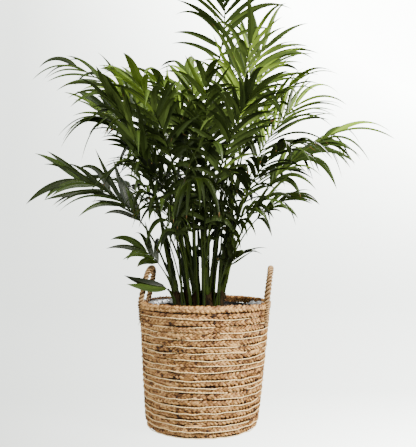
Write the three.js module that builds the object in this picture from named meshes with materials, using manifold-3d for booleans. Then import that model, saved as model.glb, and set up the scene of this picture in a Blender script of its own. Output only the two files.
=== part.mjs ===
// A cat palm: a clump of slim green stems with arching feather fronds, in a black nursery pot inside a round
// basket of braided water hyacinth with two rope handles.
// Millimetres, +Z up. The origin is the middle of the basket's flat underside, and the handles lie on X.
import * as THREE from "three";
import { mergeVertices } from "three/addons/utils/BufferGeometryUtils.js";
import Module from "manifold-3d";

const wasm = await Module();
wasm.setup();

// Driving dimensions: the basket
const BASKET_HEIGHT = 290;
const RIM_RADIUS = 156;
const FOOT_RADIUS = 131;
const WALL_CURVE = 0.85; // below 1 the wall swells out early on its way up
const WALL_THICKNESS = 9;
const FLOOR_THICKNESS = 9;
const RIM_BRAID_HEIGHT = 16;
const RIM_BRAID_OVERHANG = 1.5;
const RIM_ROUNDING = 4;
const BRAID_ROWS = 19;
const BRAID_BULGE = 2.2;
const BASKET_LEAN = 8; // the rim stands this far to +X of the foot
const AROUND = 24; // flats round a turned piece
const GAP = 0.3; // air between pieces that rest against each other

// Driving dimensions: handles, liner, pot and soil
const ROPE_RADIUS = 6;
const ROPE_SIDES = 8;
const ROPE_STEPS = 22;
const HANDLE_WIDTH = 100;
const HANDLE_RISE = 77;
const HANDLE_TAIL = 44;
const HANDLE_LEANS = [14, 8]; // the tops of the left and right handles stand this far to +X
const HANDLE_OPENING = { width: 70, height: 57, depth: 80 }; // no leaf reaches into this space for a hand
const LINER_THICKNESS = 1;
const LINER_FOOT = 15;
const LINER_TOP = 283;
const POT_HEIGHT = 268;
const POT_RADIUS = 121;
const POT_FOOT_RADIUS = 98;
const POT_WALL = 2.2;
const POT_LIP = 3;
const POT_LIP_HEIGHT = 9;
const SOIL_HEIGHT = 257; // from the pot's underside
const SOIL_FLAT_RADIUS = 80;
const SOIL_SLOPE = 8;

// Driving dimensions: the plant
const CROWN_TURN = 5; // degrees from the line of the handles to the clump's own zero azimuth
const LINE_STEPS = 48; // steps in which every limb's line is worked out
const STEM_SIDES = 8;
const STEM_FLARE = 1.3;
const STEM_FLARE_HEIGHT = 22;
const STEM_CUTS = [0.25, 0.5, 0.75, 1];
const RIB_SIDES = 3;
const RIB_SECTIONS = 7;
const RIB_TIP_RADIUS = 1.1;
const LEAFLET_CUTS = [0.3, 0.68]; // where a leaflet's width is set, between its root and its tip
const LEAFLET_WIDTHS = [1, 0.72];
const LEAFLET_STEPS = 16;
const LEAFLET_KEEL = 0.018; // thickness at the keel, as a share of the leaflet's length
const LEAFLET_TWIST = 24;
const LAST_LEAFLET = 0.96; // share of the rib where the last pair before the fork at its tip stands
const FORK = { splay: 14, width: 1.3, share: 0.9 };
const LEAFLET_TRIES = [
  { share: 1, turn: 0 },
  { share: 1, turn: 10 },
  { share: 1, turn: -10 },
  { share: 0.85, turn: 0 },
  { share: 0.85, turn: 20 },
  { share: 0.85, turn: -20 },
  { share: 0.65, turn: 0 },
  { share: 0.65, turn: 12 },
  { share: 0.65, turn: -12 },
]; // a leaflet that would touch a neighbour is turned or shortened, and skipped if that doesn't help

const radians = THREE.MathUtils.degToRad;
const lerp = THREE.MathUtils.lerp;
const clamp = THREE.MathUtils.clamp;
const UP = new THREE.Vector3(0, 0, 1);

// Materials
const matt = (color, roughness) => new THREE.MeshStandardMaterial({ color, roughness, metalness: 0 });
const MATERIALS = {
  braid: matt(0xb98d5f, 0.85),
  rope: matt(0xb5905f, 0.9),
  liner: matt(0xb9bcba, 0.3),
  pot: matt(0x1c1d1e, 0.5),
  soil: matt(0x2b1d12, 0.95),
  stem: matt(0x5a7030, 0.5),
  frond: matt(0x35571c, 0.45),
};

// Solids: closed meshes on their way into the boolean library and out of it
function solidOf(geometry) {
  const bare = new THREE.BufferGeometry().setAttribute("position", geometry.getAttribute("position"));
  bare.setIndex(geometry.index);
  const merged = mergeVertices(bare, 1e-3);
  const mesh = new wasm.Mesh({
    numProp: 3,
    vertProperties: merged.getAttribute("position").array,
    triVerts: new Uint32Array(merged.index.array),
  });
  return new wasm.Manifold(mesh);
}

function geometryOf(solid) {
  const mesh = solid.getMesh();
  const geometry = new THREE.BufferGeometry();
  geometry.setAttribute("position", new THREE.BufferAttribute(mesh.vertProperties, 3));
  geometry.setIndex(new THREE.BufferAttribute(mesh.triVerts, 1));
  geometry.computeVertexNormals();
  return geometry;
}

// Joins solids and drops the scraps and sealed hollows that joining thin blades can leave.
function joined(solids) {
  const bodies = wasm.Manifold.union(solids).decompose();
  return bodies.reduce((largest, body) => (body.volume() > largest.volume() ? body : largest));
}

function piece(name, geometry, material) {
  const mesh = new THREE.Mesh(geometry, material);
  mesh.name = name;
  return mesh;
}

// Turned pieces: a profile of [radius, height] points, listed upwards on its outer side, is turned about Z.
function turned(profile) {
  const points = profile.map(([radius, height]) => new THREE.Vector2(radius, height));
  return new THREE.LatheGeometry(points, AROUND).rotateX(Math.PI / 2);
}

// Everything in the basket's wall leans with it.
function leaned(geometry) {
  return geometry.applyMatrix4(new THREE.Matrix4().makeShear(0, 0, 0, 0, BASKET_LEAN / BASKET_HEIGHT, 0));
}

const WALL_TOP = BASKET_HEIGHT - RIM_BRAID_HEIGHT - GAP;

function outerRadius(z) {
  const share = Math.pow(clamp(z / BASKET_HEIGHT, 0, 1), WALL_CURVE);
  return lerp(FOOT_RADIUS, RIM_RADIUS, share);
}

function innerRadius(z) {
  return lerp(outerRadius(0), outerRadius(WALL_TOP), z / WALL_TOP) - WALL_THICKNESS;
}

function wallProfile() {
  const row = WALL_TOP / BRAID_ROWS;
  const ring = [[outerRadius(0) - BRAID_BULGE, 0]];
  for (let i = 0; i < BRAID_ROWS; i++) {
    ring.push([outerRadius((i + 0.5) * row), (i + 0.5) * row]);
    ring.push([outerRadius((i + 1) * row) - BRAID_BULGE, (i + 1) * row]);
  }
  ring.push([innerRadius(WALL_TOP), WALL_TOP], [innerRadius(0), 0]);
  return [...ring, ring[0]];
}

function rimProfile() {
  const low = BASKET_HEIGHT - RIM_BRAID_HEIGHT;
  const outer = RIM_RADIUS + RIM_BRAID_OVERHANG;
  const inner = innerRadius(LINER_TOP) + GAP;
  const ring = [
    [outer - RIM_ROUNDING, low],
    [outer, low + RIM_ROUNDING],
    [outer, BASKET_HEIGHT - RIM_ROUNDING],
    [outer - RIM_ROUNDING, BASKET_HEIGHT],
    [inner + RIM_ROUNDING, BASKET_HEIGHT],
    [inner, BASKET_HEIGHT - RIM_ROUNDING],
    [inner, low],
  ];
  return [...ring, ring[0]];
}

function floorProfile() {
  const radius = innerRadius(0) - GAP;
  return [[0, 0], [radius, 0], [radius, FLOOR_THICKNESS], [0, FLOOR_THICKNESS]];
}

function linerProfile() {
  const low = innerRadius(LINER_FOOT) - GAP;
  const high = innerRadius(LINER_TOP) - GAP;
  const ring = [[low, LINER_FOOT], [high, LINER_TOP], [high - LINER_THICKNESS, LINER_TOP]];
  return [...ring, [low - LINER_THICKNESS, LINER_FOOT], ring[0]];
}

// A rope handle is two legs let into the outside of the wall and an arch over the rim. side is -1 or 1.
function handlePath(side, tail) {
  const half = HANDLE_WIDTH / 2;
  const lean = HANDLE_LEANS[side < 0 ? 0 : 1];
  const place = (y, rise) => {
    const reach = Math.sqrt((outerRadius(BASKET_HEIGHT + rise) - 1) ** 2 - half ** 2);
    return new THREE.Vector3(side * reach + lean * clamp(rise / HANDLE_RISE, 0, 1), y, BASKET_HEIGHT + rise);
  };
  const leg = [
    [half, -tail],
    [half, -tail / 2],
    [half, 0],
    [half, 0.5 * HANDLE_RISE],
    [0.74 * half, 0.87 * HANDLE_RISE],
  ];
  const otherLeg = leg.map(([y, rise]) => [-y, rise]).reverse();
  return new THREE.CatmullRomCurve3([...leg, [0, HANDLE_RISE], ...otherLeg].map((at) => place(...at)));
}

function rope(path, radius) {
  const corners = Array.from({ length: ROPE_SIDES }, (_, k) => {
    const turn = (2 * Math.PI * (k + 0.5)) / ROPE_SIDES;
    return new THREE.Vector2(radius * Math.cos(turn), radius * Math.sin(turn));
  });
  const section = new THREE.Shape(corners);
  return new THREE.ExtrudeGeometry(section, { steps: ROPE_STEPS, extrudePath: path, bevelEnabled: false });
}

function makeBasket() {
  const group = new THREE.Group();
  const handles = [-1, 1].map((side) => leaned(rope(handlePath(side, HANDLE_TAIL), ROPE_RADIUS)));
  const channels = [-1, 1].map((side) => {
    return solidOf(leaned(rope(handlePath(side, HANDLE_TAIL + GAP), ROPE_RADIUS + 1.5 * GAP)));
  });
  const channelled = (profile) => {
    const whole = solidOf(leaned(turned(profile)));
    return geometryOf(whole.subtract(channels[0]).subtract(channels[1]));
  };
  group.add(piece("basket_wall", channelled(wallProfile()), MATERIALS.braid));
  group.add(piece("basket_rim", channelled(rimProfile()), MATERIALS.braid));
  group.add(piece("basket_floor", leaned(turned(floorProfile())), MATERIALS.braid));
  group.add(piece("handle_left", handles[0], MATERIALS.rope));
  group.add(piece("handle_right", handles[1], MATERIALS.rope));
  group.add(piece("plastic_liner", leaned(turned(linerProfile())), MATERIALS.liner));
  return group;
}

// The space for a hand under each handle, from just above the rim
function handleOpenings() {
  const { width, height, depth } = HANDLE_OPENING;
  return [-1, 1].map((side) => {
    const x = side * (RIM_RADIUS - WALL_THICKNESS) + BASKET_LEAN + HANDLE_LEANS[side < 0 ? 0 : 1] / 2;
    const z = BASKET_HEIGHT + GAP + height / 2;
    return piece("opening", new THREE.BoxGeometry(depth, width, height).translate(x, 0, z), MATERIALS.rope);
  });
}

// The nursery pot stands upright on the basket's floor and is filled with soil.
function makePot() {
  const group = new THREE.Group();
  group.position.z = FLOOR_THICKNESS + GAP;
  const radiusAt = (z) => lerp(POT_FOOT_RADIUS, POT_RADIUS, z / POT_HEIGHT);
  const lipFoot = POT_HEIGHT - POT_LIP_HEIGHT;
  const pot = [
    [0, 0],
    [POT_FOOT_RADIUS, 0],
    [radiusAt(lipFoot), lipFoot],
    [POT_RADIUS + POT_LIP, lipFoot],
    [POT_RADIUS + POT_LIP, POT_HEIGHT],
    [POT_RADIUS - POT_WALL, POT_HEIGHT],
    [radiusAt(POT_WALL) - POT_WALL, POT_WALL],
    [0, POT_WALL],
  ];
  const soilFoot = POT_WALL + GAP;
  const soilEdge = SOIL_HEIGHT - SOIL_SLOPE;
  const soil = [
    [0, soilFoot],
    [radiusAt(soilFoot) - POT_WALL - GAP, soilFoot],
    [radiusAt(soilEdge) - POT_WALL - GAP, soilEdge],
    [SOIL_FLAT_RADIUS, SOIL_HEIGHT],
    [0, SOIL_HEIGHT],
  ];
  group.add(piece("nursery_pot", turned(pot), MATERIALS.pot));
  group.add(piece("soil", turned(soil), MATERIALS.soil));
  return group;
}

// Numbers from -1 to 1 that look random and are the same each time for the same leaflet
function vary(frond, leaflet, trait) {
  const wave = Math.sin(frond * 12.9898 + leaflet * 78.233 + trait * 37.719) * 43758.5453;
  return 2 * (wave - Math.floor(wave)) - 1;
}

// The line of a stem or a frond's rib. It sets off tilt[0] degrees from upright towards its azimuth and ends
// at tilt[1], bending late where bend is large, and its azimuth turns by sweep degrees on the way.
function limbLine({ foot, azimuth, tilt, length, bend = 1, sweep = 0 }) {
  const points = [foot.clone()];
  const ways = [];
  const turns = [];
  for (let i = 0; i <= LINE_STEPS; i++) {
    const share = i / LINE_STEPS;
    const lean = radians(lerp(tilt[0], tilt[1], Math.pow(share, bend)));
    const turn = radians(azimuth + sweep * share);
    const [out, rise] = [Math.sin(lean), Math.cos(lean)];
    turns.push(turn);
    ways.push(new THREE.Vector3(out * Math.cos(turn), out * Math.sin(turn), rise));
    points.push(points[i].clone().addScaledVector(ways[i], length / LINE_STEPS));
  }
  const between = (list, share) => {
    const i = Math.min(Math.floor(share * LINE_STEPS), LINE_STEPS - 1);
    return list[i].clone().lerp(list[i + 1], share * LINE_STEPS - i);
  };
  const way = (share) => between(ways, share).normalize();
  // Gives the level direction square to the limb and the one on its upper side, rolled about the limb.
  const across = (share, roll = 0) => {
    const turn = turns[Math.round(share * LINE_STEPS)];
    const level = new THREE.Vector3(-Math.sin(turn), Math.cos(turn), 0);
    level.applyAxisAngle(way(share), radians(roll));
    return { level, upper: way(share).cross(level) };
  };
  return { point: (share) => between(points, share), way, across };
}

// Skins rings of points that each turn anticlockwise seen from the last one. A ring of one point is a tip,
// and any other end ring gets a flat cap.
function skinned(rings) {
  const corners = [];
  const face = (...points) => points.forEach((point) => corners.push(...point.toArray()));
  const cap = (ring) => {
    for (let k = 1; k < ring.length - 1; k++) face(ring[0], ring[k], ring[k + 1]);
  };
  cap([...rings[0]].reverse());
  cap(rings[rings.length - 1]);
  for (let i = 0; i < rings.length - 1; i++) {
    const [low, high] = [rings[i], rings[i + 1]];
    const sides = Math.max(low.length, high.length);
    for (let k = 0; k < sides; k++) {
      const next = (k + 1) % sides;
      const root = low.length === 1;
      if (!root) face(low[k], low[next], high[k % high.length]);
      if (high.length > 1) face(low[root ? 0 : next], high[next], high[k]);
    }
  }
  return new THREE.BufferGeometry().setAttribute("position", new THREE.Float32BufferAttribute(corners, 3));
}

// One ring round a limb, with its first corner on the upper side
function limbRing(line, share, radius, sides) {
  const { level, upper } = line.across(share);
  return Array.from({ length: sides }, (_, k) => {
    const turn = (2 * Math.PI * k) / sides;
    const corner = line.point(share).addScaledVector(upper, radius * Math.cos(turn));
    return corner.addScaledVector(level, -radius * Math.sin(turn));
  });
}

// The stems. foot is the place on the soil, and radius is the stem's own above its flare and at its tip.
const STEMS = {
  stem_left: { foot: [-55, -8], azimuth: 180, tilt: [9, 14], length: 190, radius: [8.5, 5.5] },
  stem_front_left: { foot: [-12, -26], azimuth: 182, tilt: [6, 11], length: 205, radius: [7.5, 5] },
  stem_front: { foot: [17, -34], azimuth: 182, tilt: [7, 4], length: 150, radius: [7.5, 5] },
  stem_middle: { foot: [6, 4], azimuth: 90, tilt: [1, 3], length: 300, radius: [8, 5.5] },
  stem_right: { foot: [40, -2], azimuth: 0, tilt: [9, 3], length: 300, radius: [8.5, 6] },
  stem_back_left: { foot: [-30, 30], azimuth: 160, tilt: [7, 10], length: 240, radius: [7.5, 5] },
  stem_back_right: { foot: [22, 40], azimuth: 50, tilt: [6, 9], length: 250, radius: [7.5, 5] },
  stem_slim_left: { foot: [-34, -2], azimuth: 175, tilt: [4, 7], length: 330, radius: [4.5, 2.5] },
  stem_slim_middle: { foot: [-11, -3], azimuth: 190, tilt: [2, 4], length: 340, radius: [4.5, 2.5] },
  stem_slim_right: { foot: [26, 18], azimuth: 20, tilt: [3, 8], length: 330, radius: [4.5, 2.5] },
};

function growStem(row) {
  const foot = new THREE.Vector3(...row.foot, 0);
  const line = limbLine({ ...row, foot });
  const flareEnd = STEM_FLARE_HEIGHT / row.length;
  const radiusAt = (share) => {
    const flare = Math.max(1, lerp(STEM_FLARE, 1, share / flareEnd));
    return flare * lerp(row.radius[0], row.radius[1], share);
  };
  const cuts = [0, flareEnd, ...STEM_CUTS];
  const rings = cuts.map((share) => limbRing(line, share, radiusAt(share), STEM_SIDES));
  rings[0].forEach((corner) => (corner.z = 0));
  return { ...row, line, radiusAt, geometry: skinned(rings) };
}

// The fronds. stem and rise say where one leaves its stem: at that share of the stem's height, and at the tip
// where it is 1. One with a foot instead grows from that place on the soil. azimuth, tilt, length, bend and
// sweep shape the rib, rib is its radius at the foot, and the first leaflet stands at the share bare. pairs
// counts the pairs of leaflets, leaf and width size the largest, splay is their angle to the rib at its foot
// and tip, lift raises both rows from the rib's own plane, droop hangs their tips, and roll turns the whole
// blade about the rib.
const USUAL_FROND = {
  bend: 1.4,
  sweep: 0,
  rib: 3,
  bare: 0.45,
  pairs: 7,
  leaf: 130,
  width: 17,
  splay: [62, 26],
  lift: 16,
  droop: 0.3,
  roll: 0,
};
const FRONDS = {
  // The left of the crown
  frond_left_low: {
    stem: "stem_left", rise: 0.5, azimuth: 187, tilt: [20, 75], length: 318, bend: 1.2, bare: 0.42,
    leaf: 140, width: 20, splay: [28, 32], roll: -58, droop: 0.35,
  },
  frond_left_bottom: {
    stem: "stem_left", rise: 0.35, azimuth: 204, tilt: [28, 56], length: 98, rib: 2, bare: 0.55, pairs: 3,
    leaf: 106, width: 16, splay: [58, 28], roll: -50,
  },
  frond_left_forked: {
    stem: "stem_left", rise: 0.18, azimuth: 214, tilt: [36, 66], length: 38, rib: 2, bare: 0.7, pairs: 1,
    leaf: 126, width: 19, splay: [30, 20], roll: -70, droop: 0.15,
  },
  frond_left_young: {
    foot: [-36, -34], azimuth: 206, tilt: [12, 34], length: 330, rib: 2, bare: 0.74, pairs: 3, leaf: 95,
    width: 12,
  },
  frond_left_inner: {
    stem: "stem_left", rise: 1, azimuth: 164, tilt: [13, 35], length: 285, bare: 0.5, pairs: 5, leaf: 108,
    droop: 0.6,
  },
  frond_left_long: {
    stem: "stem_front_left", rise: 1, azimuth: 182, tilt: [9, 67], length: 482, bend: 1.2, bare: 0.42,
    pairs: 7, leaf: 134, width: 13, splay: [40, 20], roll: -60, droop: 0.5,
  },
  frond_left_hanging: {
    stem: "stem_front_left", rise: 0.5, azimuth: 222, tilt: [16, 130], length: 350, bend: 3, bare: 0.5,
    leaf: 90, width: 14,
  },
  frond_left_wide: {
    stem: "stem_back_left", rise: 1, azimuth: 176, tilt: [24, 47], length: 320, bend: 0.95, bare: 0.42,
    pairs: 6, leaf: 128, width: 19, splay: [36, 14], roll: -40, droop: 0.3,
  },
  frond_left_fan: {
    stem: "stem_middle", rise: 0.5, azimuth: 168, tilt: [7, 50], length: 436, bend: 1.5, bare: 0.5,
    leaf: 158, width: 19, splay: [46, 22], roll: -55,
  },
  frond_left_front: {
    stem: "stem_left", rise: 0.7, azimuth: 242, tilt: [15, 58], length: 392, leaf: 130, pairs: 6,
    splay: [30, 14], droop: 0.25,
  },
  frond_left_back: {
    stem: "stem_left", rise: 0.75, azimuth: 116, tilt: [20, 62], length: 350, pairs: 5, leaf: 112,
  },
  frond_left_upright: {
    stem: "stem_back_left", rise: 0.85, azimuth: 207, tilt: [13, 36], length: 340, leaf: 135, pairs: 6,
  },
  // The middle of the crown
  frond_top: {
    stem: "stem_middle", rise: 1, azimuth: 0, tilt: [2, 84], sweep: -120, length: 540, bend: 2,
    bare: 0.58, pairs: 7, leaf: 160, width: 15,
  },
  frond_centre_fan: {
    stem: "stem_middle", rise: 0.8, azimuth: 108, tilt: [6, 40], length: 410, leaf: 145, width: 20,
    splay: [52, 20],
  },
  frond_middle_left: {
    stem: "stem_middle", rise: 0.7, azimuth: 232, tilt: [8, 50], length: 345, leaf: 122, width: 18,
    droop: 0.45,
  },
  frond_middle_front: {
    stem: "stem_middle", rise: 0.58, azimuth: 272, tilt: [7, 48], length: 385, leaf: 124, width: 17,
    droop: 0.4,
  },
  frond_front_centre: {
    stem: "stem_front", rise: 1, azimuth: 260, tilt: [5, 108], length: 250, bend: 1.2, bare: 0.4,
    pairs: 6, leaf: 140, width: 18, splay: [74, 30], droop: 0.9,
  },
  frond_front_left: {
    stem: "stem_front_left", rise: 0.75, azimuth: 244, tilt: [12, 60], length: 405, pairs: 6,
  },
  frond_front_right: {
    stem: "stem_front", rise: 0.7, azimuth: 296, tilt: [10, 60], length: 430,
  },
  // The right of the crown
  frond_right_top: {
    stem: "stem_right", rise: 1, azimuth: 8, tilt: [3, 28], length: 350, bare: 0.52, pairs: 7, leaf: 168,
    width: 16, splay: [54, 30], roll: 70,
  },
  frond_right_upper: {
    stem: "stem_right", rise: 0.55, azimuth: 8, tilt: [12, 47], length: 380, bend: 1.5, bare: 0.52,
    pairs: 7, leaf: 165, width: 12, splay: [50, 24], roll: 46, droop: 0.4,
  },
  frond_right_main: {
    stem: "stem_right", rise: 0.36, azimuth: 354, tilt: [17, 64.5], length: 410, bend: 1.2, bare: 0.52,
    pairs: 7, leaf: 165, width: 20, splay: [36, 26], roll: 34, droop: 0.45,
  },
  frond_right_near: {
    stem: "stem_right", rise: 0.38, azimuth: 306, tilt: [14, 82], length: 370, bare: 0.45, leaf: 115,
    droop: 0.5,
  },
  frond_right_low: {
    stem: "stem_right", rise: 0.22, azimuth: 343, tilt: [9, 68], length: 264, bend: 1.1, rib: 2.4,
    bare: 0.62, pairs: 4, leaf: 108, width: 14, splay: [44, 20], roll: 30, droop: 0.5,
  },
  frond_right_small: {
    stem: "stem_right", rise: 0.24, azimuth: 300, tilt: [26, 60], length: 80, rib: 1.8, bare: 0.5,
    pairs: 2, leaf: 80, width: 12,
  },
  frond_right_young: {
    foot: [28, -50], azimuth: 350, tilt: [12, 44], length: 300, rib: 2, bare: 0.74, pairs: 3, leaf: 90,
    width: 12,
  },
  frond_right_high: {
    stem: "stem_right", rise: 0.78, azimuth: 285, tilt: [9, 40], length: 400, leaf: 150, width: 15,
  },
  frond_right_back: {
    stem: "stem_right", rise: 0.68, azimuth: 58, tilt: [12, 60], length: 430, pairs: 5,
  },
  frond_right_inner: {
    stem: "stem_back_right", rise: 0.85, azimuth: 338, tilt: [12, 52], length: 380, leaf: 140, width: 15,
  },
  // The back of the crown
  frond_back_left: {
    stem: "stem_back_left", rise: 0.8, azimuth: 132, tilt: [15, 62], length: 500, pairs: 6, leaf: 140,
  },
  frond_back: {
    stem: "stem_back_right", rise: 0.75, azimuth: 96, tilt: [12, 60], length: 520, pairs: 6, leaf: 140,
  },
  frond_back_right: {
    stem: "stem_back_right", rise: 1, azimuth: 48, tilt: [9, 58], length: 480, pairs: 6, leaf: 140,
  },
  frond_back_high: {
    stem: "stem_middle", rise: 0.9, azimuth: 54, tilt: [9, 36], length: 400, pairs: 6,
  },
  frond_back_low_left: {
    stem: "stem_back_left", rise: 0.45, azimuth: 146, tilt: [24, 80], length: 350, pairs: 5,
  },
  frond_back_low: {
    stem: "stem_back_left", rise: 0.5, azimuth: 98, tilt: [22, 82], length: 380, pairs: 5,
  },
  frond_back_low_right: {
    stem: "stem_back_right", rise: 0.45, azimuth: 46, tilt: [24, 78], length: 390, pairs: 5,
  },
  // Low leaves among the stems
  frond_inner_arching: {
    stem: "stem_back_left", rise: 0.9, azimuth: 184, tilt: [22, 66], length: 300, bend: 3, rib: 2.4,
    bare: 0.9, pairs: 1, leaf: 165, width: 22, splay: [24, 14], droop: 0.9, roll: -16,
  },
  frond_inner_left: {
    foot: [-26, -48], azimuth: 226, tilt: [8, 58], length: 300, bend: 2, rib: 2.4, bare: 0.6, pairs: 4,
    leaf: 108, width: 17, splay: [70, 30], droop: 0.9,
  },
  frond_inner_front: {
    foot: [6, -56], azimuth: 276, tilt: [1, 44], length: 385, bend: 2.4, rib: 2.6, bare: 0.5, pairs: 6,
    leaf: 124, width: 18, splay: [74, 30], droop: 0.9,
  },
  frond_inner_right: {
    foot: [40, -26], azimuth: 344, tilt: [2, 62], length: 290, bend: 2, rib: 2.4, bare: 0.6, pairs: 4,
    leaf: 104, width: 17, splay: [66, 26], roll: 30, droop: 0.7,
  },
  frond_inner_back: {
    foot: [-8, 26], azimuth: 100, tilt: [2, 48], length: 415, bend: 2, rib: 2.8, bare: 0.56, pairs: 6,
    leaf: 132, width: 19, splay: [72, 30], droop: 0.9,
  },
};

// A rib's foot lies clear of the soil, of its stem's tip or of its stem's side.
function ribFoot(frond, stems) {
  const tilt = radians(frond.tilt[0]);
  if (frond.foot) return new THREE.Vector3(...frond.foot, frond.rib * Math.sin(tilt));
  const stem = stems[frond.stem];
  const toward = new THREE.Vector3(1, 0, 0).applyAxisAngle(UP, radians(frond.azimuth));
  if (frond.rise === 1) {
    const ribWay = toward.multiplyScalar(Math.sin(tilt)).addScaledVector(UP, Math.cos(tilt));
    const clear = GAP + frond.rib * Math.sin(ribWay.angleTo(stem.line.way(1)));
    return stem.line.point(1).addScaledVector(stem.line.way(1), clear);
  }
  const lean = radians(lerp(stem.tilt[0], stem.tilt[1], frond.rise));
  const apart = radians(frond.azimuth - stem.azimuth);
  const flat = Math.PI / STEM_SIDES;
  const offFlat = THREE.MathUtils.euclideanModulo(apart, 2 * flat) - flat;
  const surface = (stem.radiusAt(frond.rise) * Math.cos(flat)) / Math.cos(offFlat) / Math.cos(lean);
  const nearCorner = frond.rib * (Math.cos(tilt) + Math.sin(tilt) * Math.tan(lean) * Math.cos(apart));
  return stem.line.point(frond.rise).addScaledVector(toward, surface + nearCorner + GAP);
}

function growRib(name, row, stems) {
  const frond = { ...USUAL_FROND, ...row };
  const index = Object.keys(FRONDS).indexOf(name) + 1;
  const line = limbLine({ ...frond, foot: ribFoot(frond, stems) });
  const rings = Array.from({ length: RIB_SECTIONS + 1 }, (_, i) => {
    const share = i / RIB_SECTIONS;
    return limbRing(line, share, lerp(frond.rib, RIB_TIP_RADIUS, share), RIB_SIDES);
  });
  return { ...frond, name, index, line, solid: solidOf(skinned(rings)) };
}

// The leaflets of a frond, each with its place on the rib, its direction there, its length and its width
function leafletsOf(frond) {
  const leaflets = [];
  for (let i = 0; i <= frond.pairs; i++) {
    for (const side of [1, -1]) {
      const number = 2 * i + (side > 0 ? 0 : 1);
      const noise = (trait) => vary(frond.index, number, trait);
      const fork = i === frond.pairs;
      const u = fork ? 1 : (i + 0.3 + 0.2 * side) / frond.pairs;
      const swell = Math.min(lerp(0.68, 1, u / 0.4), lerp(1, 0.74, (u - 0.4) / 0.6));
      leaflets.push({
        side,
        noise,
        share: fork ? 0.985 : lerp(frond.bare, LAST_LEAFLET, u),
        splay: fork ? FORK.splay : lerp(frond.splay[0], frond.splay[1], u) + 5 * noise(1),
        length: frond.leaf * (fork ? FORK.share : swell) * (1 + 0.1 * noise(2)),
        width: frond.width * (fork ? FORK.width : 1) * (1 + 0.12 * noise(3)),
      });
    }
  }
  return leaflets;
}

// A leaflet is a thin keeled blade that starts as a point on the rib's own line and bends down to its tip.
// flat, the direction across it, turns along with the bend.
function leafletGeometry(frond, leaflet, attempt, margin) {
  const { line, roll, lift, droop } = frond;
  const { side, noise, share, width } = leaflet;
  const length = leaflet.length * attempt.share;
  const { level, upper } = line.across(share, roll);
  const splay = radians(leaflet.splay);
  const raise = radians(lift + 6 * noise(4) + attempt.turn);
  const start = line.way(share).multiplyScalar(Math.cos(splay));
  start.addScaledVector(level, side * Math.sin(splay) * Math.cos(raise));
  start.addScaledVector(upper, Math.sin(splay) * Math.sin(raise));
  const flat = line.way(share).multiplyScalar(-side);
  flat.addScaledVector(start, -flat.dot(start)).applyAxisAngle(start, radians(LEAFLET_TWIST * noise(5)));
  const point = line.point(share);
  const rings = [[point.clone()]];
  const hang = droop * (1 + 0.4 * noise(6));
  for (let i = 1; i <= LEAFLET_STEPS; i++) {
    const way = start.clone().addScaledVector(UP, (-2 * hang * (i - 0.5)) / LEAFLET_STEPS).normalize();
    point.addScaledVector(way, length / LEAFLET_STEPS);
    flat.addScaledVector(way, -flat.dot(way)).normalize();
    const cut = LEAFLET_CUTS.findIndex((at) => Math.round(at * LEAFLET_STEPS) === i);
    if (cut < 0) continue;
    const face = way.clone().cross(flat);
    const half = (LEAFLET_WIDTHS[cut] * width) / 2 + margin;
    const top = point.clone().addScaledVector(face, margin);
    const keel = LEAFLET_WIDTHS[cut] * LEAFLET_KEEL * length + margin;
    rings.push([
      top.clone().addScaledVector(flat, half),
      top.clone().addScaledVector(flat, -half),
      point.clone().addScaledVector(face, -keel),
    ]);
  }
  rings.push([point]);
  return skinned(rings);
}

// Keeps what is already in the crown's space, so that a later leaflet stays clear of it
function makeSpace() {
  const taken = [];
  const boxOf = (geometry) => {
    geometry.computeBoundingBox();
    return geometry.boundingBox;
  };
  const add = (owner, geometry, solid = solidOf(geometry)) => {
    taken.push({ owner, solid, box: boxOf(geometry) });
  };
  const isFree = (owner, geometry) => {
    const box = boxOf(geometry);
    const near = taken.filter((other) => other.owner !== owner && other.box.intersectsBox(box));
    if (near.length === 0) return true;
    const solid = solidOf(geometry);
    return near.every((other) => other.solid.intersect(solid).isEmpty());
  };
  return { add, isFree };
}

function makeCrown(surroundings) {
  const group = new THREE.Group();
  group.position.z = FLOOR_THICKNESS + 2 * GAP + SOIL_HEIGHT;
  group.rotation.z = radians(CROWN_TURN);
  group.updateMatrixWorld();
  const intoCrown = group.matrixWorld.clone().invert();
  const space = makeSpace();
  surroundings.forEach((mesh) => {
    space.add(mesh.name, mesh.geometry.clone().applyMatrix4(mesh.matrixWorld).applyMatrix4(intoCrown));
  });
  const stems = {};
  for (const [name, row] of Object.entries(STEMS)) {
    stems[name] = growStem(row);
    space.add(name, stems[name].geometry);
    group.add(piece(name, stems[name].geometry, MATERIALS.stem));
  }
  const fronds = Object.entries(FRONDS).map(([name, row]) => growRib(name, row, stems));
  fronds.forEach((frond) => space.add(frond.name, geometryOf(frond.solid), frond.solid));
  for (const frond of fronds) {
    const solids = [frond.solid];
    for (const leaflet of leafletsOf(frond)) {
      const clear = (attempt) => space.isFree(frond.name, leafletGeometry(frond, leaflet, attempt, GAP));
      const attempt = LEAFLET_TRIES.find(clear);
      if (!attempt) continue;
      const blade = leafletGeometry(frond, leaflet, attempt, 0);
      solids.push(solidOf(blade));
      space.add(frond.name, blade, solids[solids.length - 1]);
    }
    group.add(piece(frond.name, geometryOf(joined(solids)), MATERIALS.frond));
  }
  return group;
}

const palm = new THREE.Group();
palm.add(makeBasket(), makePot());
palm.updateMatrixWorld();
const surroundings = [];
palm.traverse((object) => object.isMesh && surroundings.push(object));
palm.add(makeCrown([...surroundings, ...handleOpenings()]));

export default palm;
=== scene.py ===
"""A cat palm in a black nursery pot, inside a round basket of braided water hyacinth with two rope handles.

The frame is in metres, +Z up, with the handles on X. Shapes are drawn in millimetres, the plant's in the
crown's own frame on the soil, and are scaled and put in place once, where their mesh is made.
"""

import math

import bpy
from mathutils import Matrix, Vector, noise


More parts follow.
